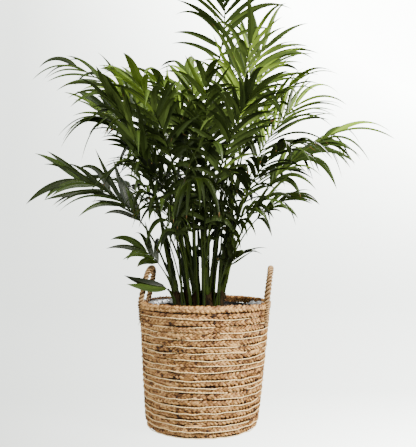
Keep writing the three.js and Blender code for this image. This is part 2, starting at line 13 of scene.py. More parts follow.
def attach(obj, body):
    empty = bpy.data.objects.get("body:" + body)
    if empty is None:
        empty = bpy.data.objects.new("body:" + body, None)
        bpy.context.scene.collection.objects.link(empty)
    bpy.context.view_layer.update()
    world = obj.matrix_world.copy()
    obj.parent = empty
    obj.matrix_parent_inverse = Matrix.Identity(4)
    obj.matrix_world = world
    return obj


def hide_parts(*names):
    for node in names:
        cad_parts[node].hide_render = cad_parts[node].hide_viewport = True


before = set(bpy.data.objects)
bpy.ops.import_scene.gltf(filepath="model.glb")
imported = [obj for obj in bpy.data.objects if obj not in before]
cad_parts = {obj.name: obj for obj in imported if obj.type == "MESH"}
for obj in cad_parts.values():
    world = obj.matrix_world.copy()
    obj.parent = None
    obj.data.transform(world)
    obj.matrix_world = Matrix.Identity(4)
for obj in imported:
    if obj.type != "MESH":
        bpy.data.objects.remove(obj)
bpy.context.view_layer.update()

MM = 0.001

# The camera, fitted to the photograph's view of the basket, in degrees and metres
VIEW_TURN = 5  # towards +X from the line square to the handles
VIEW_TILT = 2.3
VIEW_DISTANCE = 1.45
VIEW_SIDE = 0.0147
VIEW_HEIGHT = 0.416
LENS = 48.4  # mm, like the sensor's width
SENSOR = 36

# The studio, in metres
AMBIENT = 0.33
AMBIENT_COLOUR = (0.985, 1.0, 0.995, 1)
FLOOR_REACH = 3
COVE = 2.5
ROOM_SIDES = 64
COVE_STEPS = 12
ROOM_ALBEDO = 0.12
LIGHT_AIM = (0, 0, 0.5)  # the middle of the plant

# The wall's own glow, as natural logarithms. It grows from the left of the view to its right, with height,
# and towards the camera, from a line behind the plant.
GLOW_COLOUR = (0.95, 1, 0.94, 1)
GLOW = 1.15
GLOW_ASIDE = 0.4
GLOW_RISE = (0.38, 0.28)  # for each metre, in the middle of the view and what is added at its right edge
GLOW_FRONT = (0.38, 0.45)
GLOW_MOST = 2.6
VIEW_HALF_WIDTH = 0.5  # at the plant
VIEW_HALF_WIDTH_LEAST = 0.4
VIEW_WIDENING = 0.42  # for each metre behind it
FRONT_FROM = 0.35  # metres behind the plant
FRONT_REACH = 0.5

# The basket, as in the part
BASKET_HEIGHT = 290
RIM_RADIUS = 156
FOOT_RADIUS = 131
WALL_CURVE = 0.85
WALL_THICKNESS = 9
RIM_BRAID_HEIGHT = 16
BRAID_ROWS = 19
BASKET_LEAN = 8
GAP = 0.3
WALL_TOP = BASKET_HEIGHT - RIM_BRAID_HEIGHT - GAP
ROW_HEIGHT = WALL_TOP / BRAID_ROWS

# The braids' strands and the twine between the rows
BRAID_TURNS = 31  # times that each strand crosses its row and comes back, once round
STRANDS = 3
STRAND_STEPS = 12
WALL_STRAND = dict(swing=3.9, depth=1.7, half_width=3.2, half_thickness=1.8)
RIM_STRAND = dict(swing=4.3, depth=1.5, half_width=3.9, half_thickness=2.4)
STRAND_SECTION = ((1, 0), (0.62, 1), (-0.62, 1), (-1, 0), (-0.62, -1), (0.62, -1))
STRAND_INSET = 2.9  # of a wall braid's middle from the part's surface
RIM_INSETS = (2.8, 7.8)  # of the rim's two braids
RIM_ROW = 40  # the first one's row number, which only sets its unevenness and its straws
HANDLE_PRESS = 4.5  # that the braids give way to a handle's leg
STRAW_LEVELS = ((4, -0.70), (3, -0.40), (1, 0.02), (2, 0.26))  # the top level of each straw but straw 0
SHADED_EDGES = (1, 3, 3, 4, 4)  # the darker straw painted on a strand's edges as shade, for each straw of its face
BACKING_DEPTH = 6.5  # of the wall behind the strands, which is painted dark as the shade between them
BACKING_SIDES = 96
FOOT_TUCK = 2.2  # up and in, of the lowest braid, which leaves the backing's painted shade showing below it
STRIPS = 110
STRIP_REACH = (9, 24)  # degrees
STRIP_HALF_WIDTH = (2.6, 4.6)
STRIP_STEPS = 16
STRIP_SECTION = ((-1, -0.5), (-0.5, 0.35), (0.5, 0.35), (1, -0.5), (0, -0.9))
STRIP_STRAWS = (0, 1, 2, 0, 3, 1)  # taken in turn
TWINE_RADIUS = 0.8
TWINE_TURNS = 74
TWINE_STEPS = 5
TWINE_SIDES = 5
TWINE_DIP = 5.5  # behind the braids

# The handles
HANDLE_WIDTH = 100
HANDLE_RISE = 77
HANDLE_TAIL = 44  # of each leg below the rim
HANDLE_LEANS = (14, 8)  # to +X at the top, of the left and the right one
ROPE_RADIUS = 6
ROPE_FULLNESS = 1.15  # the twisted plies swell this far past the part's plain round
ROPE_PLIES = 3
PLY_OFFSET = 0.54  # of a ply's middle, and its radius, as shares of the rope's
PLY_RADIUS = 0.52
PLY_SIDES = 10
ROPE_TWISTS = 13
ROPE_STEPS = 200
TUFT_FIBRES = 26

# How far leaflets stay off the middle of the rope, the wall and the rim, and the space that they leave for a
# hand under each handle, measured from the basket's axis and its rim
ROPE_CLEARANCE = ROPE_RADIUS + 5
WALL_CLEARANCE = 8
RIM_CLEARANCE = 4
HAND_SPACE_FROM = 96
HAND_SPACE_TO = 184
HAND_SPACE_HALF_WIDTH = 40
HAND_SPACE_RISE = 60

# Liner, pot and soil. Each level of the liner is a height and its way in from the wall.
LINER_LEVELS = (
    (15, 0), (90, 0), (160, 0), (210, 0), (240, 0), (256, 0.3), (266, 0.6), (273, 1), (279, 1.4), (284, 2),
    (287, 5), (288, 9), (286, 13), (282, 17), (277, 20),
)
LINER_TOP = 286
LINER_SIDES = 240
POT_BASE = 9.3
POT_HEIGHT = 268
POT_RADIUS = 121
POT_FOOT_RADIUS = 98
POT_WALL = 2.2
POT_LIP = 3
POT_LIP_HEIGHT = 9
POT_SIDES = 128
SOIL_HEIGHT = 257
SOIL_SLOPE = 8
SOIL_FLAT_RADIUS = 80
SOIL_RADIUS = 117
SOIL_RINGS = 50
SOIL_SIDES = 120
SOIL_SKIRT = 12
CRUMBS = 320
CRUMB_SIZES = (1.3, 3.5)
LOW_SIDE = 62  # degrees from +X, where the liner has slipped and the soil is heaped
LOW_SIDE_SPAN = (16, 30)  # degrees from its middle, between which it ends
LOW_SIDE_DROP = 16
SOIL_HEAP = 11

# The plant
CROWN_TURN = 5
CROWN_HEIGHT = 266.6
LINE_STEPS = 48
STEM_FLARE = 1.3  # at the foot
STEM_FLARE_HEIGHT = 22
STEM_STEP = 3
STEM_SIDES = 18
SCAR_STEPS = 15  # between two leaf scars
HUSK_HEIGHT = 34
SHEATHS = 3
SHEATH_LEVELS = 6
SHEATH_COLUMNS = 12
SHEATH_WRAP = 1.9  # radians to either side
CLASP_REACH = 46  # down the stem
CLASP_STEPS = 14
CLASP_SIDES = 12
RIB_TIP_RADIUS = 1.1
RIB_STEPS = 40
RIB_SIDES = 10
SHOOTS = 22
YOUNG_LEAFLETS = dict(pairs=1.3, leaf=74, width=15, droop=0.7, limp=0.5, tone=1.4)
LAST_LEAFLET = 0.96
FORK_SHARE = 0.985  # of the rib, where the forked tip starts
FORK_WIDTH = 1.3
FORK_LENGTH = 0.9
LIMP_HANG = 0.75  # more droop of a limp leaflet
LEAFLET_TWIST = 16  # degrees
LEAFLET_HANG = 2.6
LEAFLET_BOW = 0.22
LEAFLET_CURL = 0.45
LEAFLET_STEPS = 14
LEAFLET_WIDEST = 0.3  # of the way out
LEAFLET_FOOT = 0.42  # the width at its foot, as a share of its greatest
LEAFLET_FOLD = 0.36  # drop of the edges below the midrib, as a share of the half width
LEAFLET_SIDES = (0, 1, 1, 0, 2, 2)  # the finish of each side of its section, and of a withered tip
LEAFLET_TIP = 3
LEAFLET_TURNS = (0, 10, -10, 20, -20, 35, -35)  # degrees, tried in turn to clear the basket
MIDRIB_HALF_WIDTH = 0.42
MIDRIB_HEIGHT = 0.35
BLADE_THICKNESS = 0.5
PAINTED_LIGHT_TOP = (400, 520)  # heights between which the leaflets are painted lighter, as the light from above falls on them
PAINTED_LIGHT_GAIN = 1.7  # tones of painted light

UP = Vector((0, 0, 1))
IN_PLACE = Matrix.Scale(MM, 4)
CROWN_SPIN = Matrix.Rotation(math.radians(CROWN_TURN), 4, "Z")
ON_SOIL = Matrix.Translation((0, 0, CROWN_HEIGHT * MM)) @ CROWN_SPIN @ IN_PLACE


def lerp(a, b, share):
    return a + (b - a) * share


def clamp(value, low=0.0, high=1.0):
    return max(low, min(high, value))


def smooth(low, high, value):
    share = clamp((value - low) / (high - low))
    return share * share * (3 - 2 * share)


def vary(first, second, trait):
    """A number from -1 to 1 that looks random and is the same each time for the same three."""
    wave = math.sin(first * 12.9898 + second * 78.233 + trait * 37.719) * 43758.5453
    return 2 * (wave - math.floor(wave)) - 1


def ripple(angle, waves, seed):
    """Smooth noise round a circle, about -1 to 1, with some waves to a turn."""
    return 1.6 * noise.noise(Vector((waves / 6 * math.cos(angle), waves / 6 * math.sin(angle), 7.3 * seed)))


def angles(count):
    """Even steps round a circle"""
    return [2 * math.pi * k / count for k in range(count)]


def outward(angle):
    """The level direction at an angle from +X"""
    return Vector((math.cos(angle), math.sin(angle), 0))


def ring_round(centre, one, other, sides, radius, start=0.0):
    """Corners round a centre, from one direction towards the other. radius may be a function of the turn."""
    ring = []
    for angle in angles(sides):
        turn = start + angle
        reach = radius(turn) if callable(radius) else radius
        ring.append(centre + reach * (one * math.cos(turn) + other * math.sin(turn)))
    return ring


class Shape:
    """The points and faces of one piece. A face has a finish, its material's number, and UVs in mm."""

    def __init__(self):
        self.points = []
        self.faces = []
        self.finishes = []
        self.uvs = []

    def face(self, corners, uvs, finish):
        self.faces.append(corners)
        self.uvs.extend(uvs)
        self.finishes.append(finish)

    def skin(self, rings, finish=0, closed=False, capped=True, looped=True):
        """Joins rings of points. finish is a number or a function of (ring, side). closed joins the last ring
        to the first, and looped joins each ring's last point to its first."""
        first = len(self.points)
        sides = len(rings[0])
        finish_at = finish if callable(finish) else lambda ring, side: finish
        u = [0]
        for low, high in zip(rings, rings[1:] + rings[:1]):
            u.append(u[-1] + (high[0] - low[0]).length)
        middle = rings[len(rings) // 2]
        v = [0]
        for k in range(sides):
            v.append(v[-1] + (middle[k] - middle[(k + 1) % sides]).length)
        for ring in rings:
            self.points.extend(ring)
        for i in range(len(rings) if closed else len(rings) - 1):
            low = first + i * sides
            high = first + (i + 1) % len(rings) * sides
            for k in range(sides if looped else sides - 1):
                n = (k + 1) % sides
                uvs = ((u[i], v[k]), (u[i], v[k + 1]), (u[i + 1], v[k + 1]), (u[i + 1], v[k]))
                self.face((low + k, low + n, high + n, high + k), uvs, finish_at(i, k))
        if capped and not closed:
            for i, order in ((0, -1), (len(rings) - 1, 1)):
                corners = tuple(range(first + i * sides, first + (i + 1) * sides))[::order]
                self.face(corners, [(u[i], v[k]) for k in range(sides)], finish_at(min(i, len(rings) - 2), 0))


def make_piece(name, shape, materials, nodes=(), place=IN_PLACE, sharp=180):
    """Turns a shape into a piece of the scene. Edges sharper than sharp degrees keep their crease."""
    mesh = bpy.data.meshes.new(name)
    mesh.from_pydata([tuple(p) for p in shape.points], [], shape.faces)
    mesh.transform(place)
    layer = mesh.uv_layers.new(name="length")
    layer.data.foreach_set("uv", [number for uv in shape.uvs for number in uv])
    for material in materials:
        mesh.materials.append(material)
    mesh.polygons.foreach_set("material_index", shape.finishes)
    mesh.polygons.foreach_set("use_smooth", [True] * len(shape.faces))
    if sharp < 180:
        mesh.set_sharp_from_angle(angle=math.radians(sharp))
    mesh.update()
    piece = bpy.data.objects.new(name, mesh)
    bpy.context.scene.collection.objects.link(piece)
    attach(piece, "root")
    if nodes:
        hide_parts(*nodes)


# Materials


def make_material(name, dark, light, roughness, grain, bump, space="Object", coat=0.0, shine=0.3, fine=None):
    """A procedural finish: noise between two colours and a bump from finer noise.

    grain is the noise's scale along three axes, in repeats for each metre of object space or millimetre of
    surface UV. bump is the relief's height in millimetres, and fine its own scale where that differs. shine
    is the strength of the plain gloss, and coat that of a clear coat over it."""
    material = bpy.data.materials.new(name)
    material.use_nodes = True
    nodes = material.node_tree.nodes
    links = material.node_tree.links
    shader = nodes["Principled BSDF"]
    shader.inputs["Roughness"].default_value = roughness
    shader.inputs["Specular IOR Level"].default_value = shine
    shader.inputs["Coat Weight"].default_value = coat
    shader.inputs["Coat Roughness"].default_value = 0.25
    place = nodes.new("ShaderNodeTexCoord")

    def noise_at(scale, detail):
        mapping = nodes.new("ShaderNodeMapping")
        mapping.inputs["Scale"].default_value = scale
        links.new(place.outputs[space], mapping.inputs["Vector"])
        texture = nodes.new("ShaderNodeTexNoise")
        texture.inputs["Scale"].default_value = 1
        texture.inputs["Detail"].default_value = detail
        links.new(mapping.outputs["Vector"], texture.inputs["Vector"])
        return texture.outputs["Fac"]

    ramp = nodes.new("ShaderNodeValToRGB")
    for element, position, colour in zip(ramp.color_ramp.elements, (0.35, 0.65), (dark, light)):
        element.position = position
        element.color = (*colour, 1)
    links.new(noise_at(grain, 4), ramp.inputs["Fac"])
    links.new(ramp.outputs["Color"], shader.inputs["Base Color"])
    relief = nodes.new("ShaderNodeBump")
    relief.inputs["Strength"].default_value = 1
    relief.inputs["Distance"].default_value = bump * MM
    links.new(noise_at(fine or grain, 3), relief.inputs["Height"])
    links.new(relief.outputs["Normal"], shader.inputs["Normal"])
    return material


FIBRE = (0.05, 0.7, 1)  # grain that runs along a strand, in its UVs
VEIN = (0.012, 0.9, 1)

STRAW_TONES = {
    "straw_light": ((0.41, 0.220, 0.075), (0.86, 0.51, 0.190)),
    "straw_tan": ((0.20, 0.095, 0.026), (0.46, 0.235, 0.070)),
    "straw_pink": ((0.25, 0.117, 0.044), (0.57, 0.30, 0.120)),
    "straw_brown": ((0.065, 0.025, 0.007), (0.20, 0.085, 0.024)),
    "straw_dark": ((0.010, 0.004, 0.0015), (0.055, 0.022, 0.007)),
}

# Five tones of one leaflet, which paint its light and shade, with a little random variation
LEAF_TONES = {
    "deep": ((0.0025, 0.0045, 0.0005), (0.008, 0.014, 0.0015)),
    "dark": ((0.007, 0.013, 0.001), (0.020, 0.033, 0.003)),
    "green": ((0.020, 0.037, 0.005), (0.052, 0.085, 0.013)),
    "light": ((0.056, 0.098, 0.012), (0.125, 0.19, 0.032)),
    "bright": ((0.130, 0.225, 0.016), (0.28, 0.43, 0.048)),
}

# The ribs of most fronds, of those on the right stem, and of those that rise from the soil
RIB_TONES = {
    "green": ((0.010, 0.018, 0.002), (0.034, 0.052, 0.007)),
    "pale": ((0.040, 0.066, 0.008), (0.095, 0.135, 0.020)),
    "dark": ((0.0055, 0.011, 0.0012), (0.027, 0.042, 0.004)),
}

TIP_TONES = ((0.07, 0.035, 0.01), (0.17, 0.095, 0.03))


def make_straws():
    return [
        make_material(name, dark, light, 0.62, FIBRE, 0.5, space="UV")
        for name, (dark, light) in STRAW_TONES.items()
    ]


def leaf_materials(tone):
    """The upper side, the midrib, the underside and a withered tip of one tone of leaflet"""
    dark, light = LEAF_TONES[tone]
    pale = [0.75 * c + 0.25 * p for c, p in zip(light, (0.05, 0.07, 0.02))]
    rib = [0.7 * c + 0.3 * p for c, p in zip(light, (0.10, 0.13, 0.02))]
    sides = (
        ("leaf_", dark, light, 0.38, 0.12, 0.22),
        ("midrib_", [0.8 * c for c in rib], rib, 0.4, 0.05, 0.22),
        ("underside_", [0.75 * c for c in pale], pale, 0.55, 0.15, 0.15),
        ("tip_", *TIP_TONES, 0.7, 0.15, 0.15),
    )
    return [
        make_material(side + tone, low, high, roughness, VEIN, bump, space="UV", shine=shine)
        for side, low, high, roughness, bump, shine in sides
    ]


# The basket


def outer_radius(z):
    return lerp(FOOT_RADIUS, RIM_RADIUS, clamp(z / BASKET_HEIGHT) ** WALL_CURVE)


def inner_radius(z):
    return lerp(outer_radius(0), outer_radius(WALL_TOP), z / WALL_TOP) - WALL_THICKNESS


def wall_point(radius, angle, z):
    """A point in the wall, which leans to +X with height"""
    return Vector((radius * math.cos(angle) + BASKET_LEAN * z / BASKET_HEIGHT, radius * math.sin(angle), z))


def upright_point(radius, angle, z):
    return Vector((radius * math.cos(angle), radius * math.sin(angle), z))


def handle_press(angle, z):
    """How far the braids give way where a handle's leg is let into them, as a share"""
    press = 0
    for side in (0, math.pi):
        for leg in (-1, 1):
            at = side + leg * math.asin(HANDLE_WIDTH / 2 / outer_radius(z))
            off = abs(math.remainder(angle - at, 2 * math.pi)) * outer_radius(z)
            press = max(press, 1 - smooth(ROPE_RADIUS * 0.5, ROPE_RADIUS * 1.6, off))
    return press * smooth(BASKET_HEIGHT - HANDLE_TAIL - 12, BASKET_HEIGHT - HANDLE_TAIL + 4, z)


def strand_tone(angle, strand, row):
    """Which straw a stretch of strand is made of, mostly the light and tan ones"""
    long = noise.noise(Vector((2.2 * math.cos(angle), 2.2 * math.sin(angle), 0.55 * row)))
    short = noise.noise(Vector((17 * math.cos(angle), 17 * math.sin(angle), 3.7 * strand + 1.9 * row)))
    level = 0.5 * long + 1.2 * short
    for number, top in STRAW_LEVELS:
        if level < top:
            return number
    return 0


def braid(shape, row, radius, height, turns, lighter, swing, depth, half_width, half_thickness):
    """One flat braid of three strands that runs once round the basket"""
    for strand in range(STRANDS):
        phase = 2 * math.pi * strand / STRANDS + 2 * math.pi * vary(row, 1, 1)

        def centre(angle):
            t = turns * angle + phase
            uneven = 1 + 0.3 * ripple(angle, 26, row + 31)
            z = height + swing * uneven * math.sin(t) + 1.3 * ripple(angle, 9, row)
            away = depth * math.sin(2 * t) + 0.5 * ripple(angle, 40, row + 0.37 * strand)
            away += 0.06 * swing * math.cos(t) - HANDLE_PRESS * handle_press(angle, height)
            return wall_point(radius + away, angle, z)

        rings = []
        tones = []
        for angle in angles(turns * STRAND_STEPS):
            point = centre(angle)
            way = (centre(angle + 0.004) - centre(angle - 0.004)).normalized()
            out = outward(angle)
            out = (out - way * out.dot(way)).normalized()
            side = way.cross(out)
            wide = half_width * (1 + 0.38 * ripple(angle, 70, row + 0.61 * strand + 5))
            thick = half_thickness * (1 + 0.25 * ripple(angle, 90, row + 0.23 * strand + 11))
            roll = 0.4 * wide * ripple(angle, 60, row + 0.77 * strand + 17)
            rings.append([
                point + side * wide * across + out * (thick * through + roll * across)
                for across, through in STRAND_SECTION
            ])
            tone = strand_tone(angle, strand, row)
            tones.append(max(0, tone - 1) if lighter else tone)
        # A strand's face takes its straw, and its two edges a darker one: painted shade between the strands.
        shape.skin(rings, lambda i, k: tones[i] if k == 1 else SHADED_EDGES[tones[i]], closed=True)


def make_wall(straws):
    low, high = Shape(), Shape()
    for row in range(BRAID_ROWS):
        shape = low if row < BRAID_ROWS // 2 else high
        tuck = FOOT_TUCK if row == 0 else 0
        height = (row + 0.5) * ROW_HEIGHT + tuck
        radius = outer_radius(height) - STRAND_INSET - tuck
        turns = BRAID_TURNS + round(2 * vary(row, 3, 2))
        braid(shape, row, radius, height, turns, False, **WALL_STRAND)
    make_piece("braids_low", low, straws, ["basket_wall"])
    make_piece("braids_high", high, straws)


def turned(profile, place_at, around):
    """A turned shape, from its closed profile of (radius, height). place_at gives the point of each angle."""
    shape = Shape()
    shape.skin([[place_at(r, angle, z) for r, z in profile] for angle in angles(around)], closed=True)
    return shape


def make_backing():
    """The inner wall behind the strands, painted dark as the shade between them and under the lowest braid"""
    profile = [(outer_radius(z) - BACKING_DEPTH, z) for z in (0, 70, 140, 210, WALL_TOP)]
    profile += [(inner_radius(WALL_TOP), WALL_TOP), (inner_radius(0), 0)]
    dark = make_material("straw_shadow", (0.02, 0.011, 0.006), (0.06, 0.034, 0.017), 0.8, (300, 300, 60), 1.2)
    shape = turned(profile, wall_point, BACKING_SIDES)
    make_piece("basket_backing", shape, [dark], sharp=40)


def make_strips(straws):
    """Loose flat strips of straw that lie over the braids here and there"""
    shape = Shape()
    for i in range(STRIPS):
        start = math.pi * vary(i, 1, 31)
        reach = math.radians(lerp(*STRIP_REACH, abs(vary(i, 2, 32))))
        low = lerp(12, WALL_TOP - 14, 0.5 + 0.5 * vary(i, 3, 33))
        slant = 5 * vary(i, 4, 34)
        half = lerp(*STRIP_HALF_WIDTH, abs(vary(i, 5, 35)))
        rings = []
        for j in range(STRIP_STEPS + 1):
            t = j / STRIP_STEPS
            angle = start + reach * t
            z = low + slant * t + 1.2 * math.sin(6 * t + i)
            lift = 1.1 * math.sin(math.pi * t) - 1.6 + 0.5 * vary(i, j, 36) - 4 * handle_press(angle, z)
            wide = half * (0.35 + 0.65 * math.sin(math.pi * clamp(1.1 * t - 0.05)) ** 0.5)
            radius = outer_radius(z) + lift
            rings.append([
                wall_point(radius + out, angle, z + across * wide) for across, out in STRIP_SECTION
            ])
        shape.skin(rings, STRIP_STRAWS[i % len(STRIP_STRAWS)])
    make_piece("loose_strips", shape, straws, sharp=50)


def make_rim(straws):
    shape = Shape()
    height = BASKET_HEIGHT - RIM_BRAID_HEIGHT / 2
    for layer, inset in enumerate(RIM_INSETS):
        braid(shape, RIM_ROW + layer, RIM_RADIUS - inset, height, BRAID_TURNS - 1, True, **RIM_STRAND)
    make_piece("rim_braids", shape, straws, ["basket_rim"])


def make_twine():
    """Cream string of two plies in the groove below each row. Here and there it dips behind the braids."""
    shape = Shape()
    for ring in range(BRAID_ROWS):
        base = ring * ROW_HEIGHT + (1.6 if ring == 0 else 3 * vary(ring, 2, 7))
        wander = 0.4 if ring == 0 else 2.4
        tuck = 1.2 * FOOT_TUCK if ring == 0 else 0
        lost = lerp(0.75, 0.0, ring / BRAID_ROWS)

        def line(angle):
            z = base + wander * ripple(angle, 7, ring + 50) + 1.5 * ripple(angle, 34, ring + 70)
            dip = smooth(lost, lost + 0.22, ripple(angle, 11, ring + 90))
            out = 0.9 + 0.7 * ripple(angle, 50, ring + 110) - TWINE_DIP * dip - 3 * handle_press(angle, z)
            return outer_radius(z) + out - tuck, z

        for ply in (0, math.pi):
            rings = []
            for i, angle in enumerate(angles(TWINE_TURNS * TWINE_STEPS)):
                radius, z = line(angle)
                turn = 2 * math.pi * i / TWINE_STEPS + ply
                radius += 0.75 * TWINE_RADIUS * math.cos(turn)
                z += 0.75 * TWINE_RADIUS * math.sin(turn)
                point = wall_point(radius, angle, max(z, TWINE_RADIUS))
                rings.append(ring_round(point, outward(angle), UP, TWINE_SIDES, TWINE_RADIUS))
            shape.skin(rings, closed=True)
    cream = make_material("twine_cream", (0.92, 0.62, 0.27), (1.0, 0.78, 0.42), 0.75, FIBRE, 0.25, space="UV")
    make_piece("twine_rings", shape, [cream])


def spline_point(knots, share):
    """A point of the smooth curve through all the knots but the first and the last"""
    spans = len(knots) - 3
    at = min(share * spans, spans - 1e-6)
    j = int(at)
    t = at - j
    a, b, c, d = knots[j:j + 4]
    curve = 2 * b + (c - a) * t + (2 * a - 5 * b + 4 * c - d) * t * t + (3 * b - a - 3 * c + d) * t * t * t
    return 0.5 * curve


def handle_points(side):
    """The middle line of a rope handle, from one tail over the rim to the other"""
    half = HANDLE_WIDTH / 2
    lean = HANDLE_LEANS[0 if side < 0 else 1]
    leg = [(half, rise) for rise in (-HANDLE_TAIL, -HANDLE_TAIL / 2, 0, 0.5 * HANDLE_RISE)]
    leg.append((0.74 * half, 0.87 * HANDLE_RISE))
    knots = []
    for y, rise in leg + [(0, HANDLE_RISE)] + [(-y, rise) for y, rise in reversed(leg)]:
        z = BASKET_HEIGHT + rise
        reach = math.sqrt((outer_radius(z) - 1) ** 2 - half ** 2)
        x = side * reach + lean * clamp(rise / HANDLE_RISE) + BASKET_LEAN * z / BASKET_HEIGHT
        knots.append(Vector((x, y, z)))
    knots = [2 * knots[0] - knots[1]] + knots + [2 * knots[-1] - knots[-2]]
    return [spline_point(knots, i / ROPE_STEPS) for i in range(ROPE_STEPS + 1)]


def make_handles():
    """Ropes of twisted plies with painted shade in the grooves between them, and a tuft at each end"""
    finishes = [
        make_material("rope_tan", (0.26, 0.145, 0.055), (0.55, 0.36, 0.17), 0.8, (0.12, 1.1, 1), 0.7, "UV"),
        make_material("rope_fray", (0.34, 0.21, 0.09), (0.54, 0.37, 0.18), 0.8, (0.2, 1, 1), 0.1, "UV"),
        make_material("rope_groove_shade", (0.08, 0.042, 0.016), (0.19, 0.105, 0.042), 0.9, (0.2, 1, 1), 0.3, "UV"),
    ]
    full = ROPE_RADIUS * ROPE_FULLNESS
    for side, name in ((-1, "handle_left"), (1, "handle_right")):
        points = handle_points(side)
        shape = Shape()
        for ply in range(ROPE_PLIES):
            rings = []
            for i, point in enumerate(points):
                way = (points[min(i + 1, ROPE_STEPS)] - points[max(i - 1, 0)]).normalized()
                flat = (Vector((1, 0, 0)) - way * way.x).normalized()
                other = way.cross(flat)
                turn = 2 * math.pi * (ROPE_TWISTS * i / ROPE_STEPS + ply / ROPE_PLIES)
                centre = point + PLY_OFFSET * full * (flat * math.cos(turn) + other * math.sin(turn))
                radius = PLY_RADIUS * full * (1 + 0.06 * vary(i // 3, ply, side))
                rings.append(ring_round(centre, flat, other, PLY_SIDES, radius, turn))
            # The ply's sides that face the other plies are painted dark, as the shade in the grooves.
            shape.skin(rings, lambda i, k: 2 if 2 <= k <= 7 else 0)
        for end, inward in ((points[0], points[1]), (points[-1], points[-2])):
            add_tuft(shape, end, (end - inward).normalized(), side)
        make_piece(name + "_rope", shape, finishes, [name], sharp=60)


def add_tuft(shape, end, way, side):
    """Frayed fibres at a rope's end"""
    out = Vector((side, 0, 0))
    across = way.cross(out)
    for i in range(TUFT_FIBRES):
        reach = 10 + 6 * vary(i, side, 3)
        start = end + out * (2.5 * vary(i, side, 4) + 1.5) + across * 4 * vary(i, side, 5)
        aim = (way + out * (0.25 + 0.45 * vary(i, side, 6)) + across * 0.6 * vary(i, side, 7)).normalized()
        rings = []
        for step, t in enumerate((0, 0.35, 0.7, 1)):
            point = start + aim * reach * t + out * reach * 0.12 * t * t
            radius = 0.45 * (1 - 0.24 * step)
            rings.append([point + radius * (out * math.cos(a) + across * math.sin(a)) for a in (0, 2.1, 4.2)])
        shape.skin(rings, 1)


# Liner, pot and soil


def low_side(angle):
    """How near a direction from the middle is to the side where the liner has slipped, as a share"""
    off = math.remainder(angle - math.radians(LOW_SIDE), 2 * math.pi)
    return 1 - smooth(*LOW_SIDE_SPAN, abs(math.degrees(off)))


def make_liner():
    """A thin film, crumpled against the wall, with a loose collar that falls over towards the pot"""
    shape = Shape()
    rings = []
    for j, (z, fall) in enumerate(LINER_LEVELS):
        loose = smooth(200, 275, z)
        ring = []
        for angle in angles(LINER_SIDES):
            crumple = 3.4 * abs(ripple(angle, 60, 3 + 0.05 * j)) + 1.8 * abs(ripple(angle, 130, 9 + 0.09 * j))
            radius = inner_radius(min(z, WALL_TOP)) - 1 - crumple * lerp(0.25, 1, loose) - fall
            lift = 3.2 * ripple(angle, 22, 21) * smooth(262, 288, z) - 2.5 * loose
            lift += 1.5 * ripple(angle, 70, 25 + 0.1 * j) * loose
            lift -= LOW_SIDE_DROP * low_side(angle) * smooth(230, 270, z)
            ring.append(wall_point(radius, angle, min(z + lift, LINER_TOP)))
        rings.append(ring)
    shape.skin(rings, capped=False)
    grey = ((0.30, 0.31, 0.31), (0.50, 0.52, 0.52))
    film = make_material("liner_film", *grey, 0.22, (60, 60, 60), 0.8, coat=0.6, fine=(140, 140, 140))
    make_piece("liner_film", shape, [film], ["plastic_liner"])


def pot_radius(z):
    return lerp(POT_FOOT_RADIUS, POT_RADIUS, z / POT_HEIGHT)


def make_pot():
    lip = POT_HEIGHT - POT_LIP_HEIGHT
    outside = POT_RADIUS + POT_LIP
    inside = POT_RADIUS - POT_WALL
    profile = [(0.5, 0), (POT_FOOT_RADIUS - 2, 0), (POT_FOOT_RADIUS, 2), (pot_radius(lip), lip)]
    profile += [(outside - 0.6, lip), (outside, lip + 0.8), (outside, POT_HEIGHT - 1)]
    profile += [(outside - 1, POT_HEIGHT), (inside + 0.8, POT_HEIGHT), (inside, POT_HEIGHT - 1)]
    profile += [(pot_radius(POT_WALL) - POT_WALL, POT_WALL), (0.5, POT_WALL)]
    shape = turned([(r, z + POT_BASE) for r, z in profile], upright_point, POT_SIDES)
    tones = ((0.012, 0.0125, 0.013), (0.02, 0.021, 0.022))
    black = make_material("pot_black", *tones, 0.38, (90, 90, 25), 0.12, fine=(900, 900, 900))
    make_piece("pot_shell", shape, [black], ["nursery_pot"], sharp=35)


def soil_point(radius, angle):
    """A point of the soil's rough surface, which slopes to the pot and is heaped at the low side"""
    point = upright_point(radius, angle, POT_BASE + SOIL_HEIGHT - 1)
    point.z -= SOIL_SLOPE * clamp((radius - SOIL_FLAT_RADIUS) / (SOIL_RADIUS - SOIL_FLAT_RADIUS))
    point.z += 2.6 * noise.noise(Vector((point.x / 16, point.y / 16, 2)))
    point.z += 1.6 * noise.noise(Vector((point.x / 5, point.y / 5, 9)))
    point.z += SOIL_HEAP * low_side(angle) * smooth(70, 108, radius)
    return point


def make_soil():
    shape = Shape()
    rings = []
    for j in range(SOIL_RINGS):
        radius = SOIL_RADIUS * (1 - j / (SOIL_RINGS - 0.5))
        rings.append([soil_point(radius, angle) for angle in angles(SOIL_SIDES)])
    rings.insert(0, [point - SOIL_SKIRT * UP for point in rings[0]])
    shape.skin(rings)
    for i in range(CRUMBS):
        radius = 0.97 * SOIL_RADIUS * math.sqrt(abs(vary(i, 5, 2)))
        size = lerp(*CRUMB_SIZES, abs(vary(i, 6, 3)) ** 2)
        add_crumb(shape, soil_point(radius, math.pi * vary(i, 4, 1)) + 0.3 * size * UP, size, i)
    peat = make_material("peat_dark", (0.01, 0.006, 0.004), (0.035, 0.02, 0.011), 0.95, (250, 250, 250), 1.5)
    bark = make_material("peat_bark", (0.035, 0.018, 0.009), (0.1, 0.055, 0.028), 0.9, (400, 400, 400), 0.6)
    make_piece("soil_relief", shape, [peat, bark], ["soil"], sharp=50)


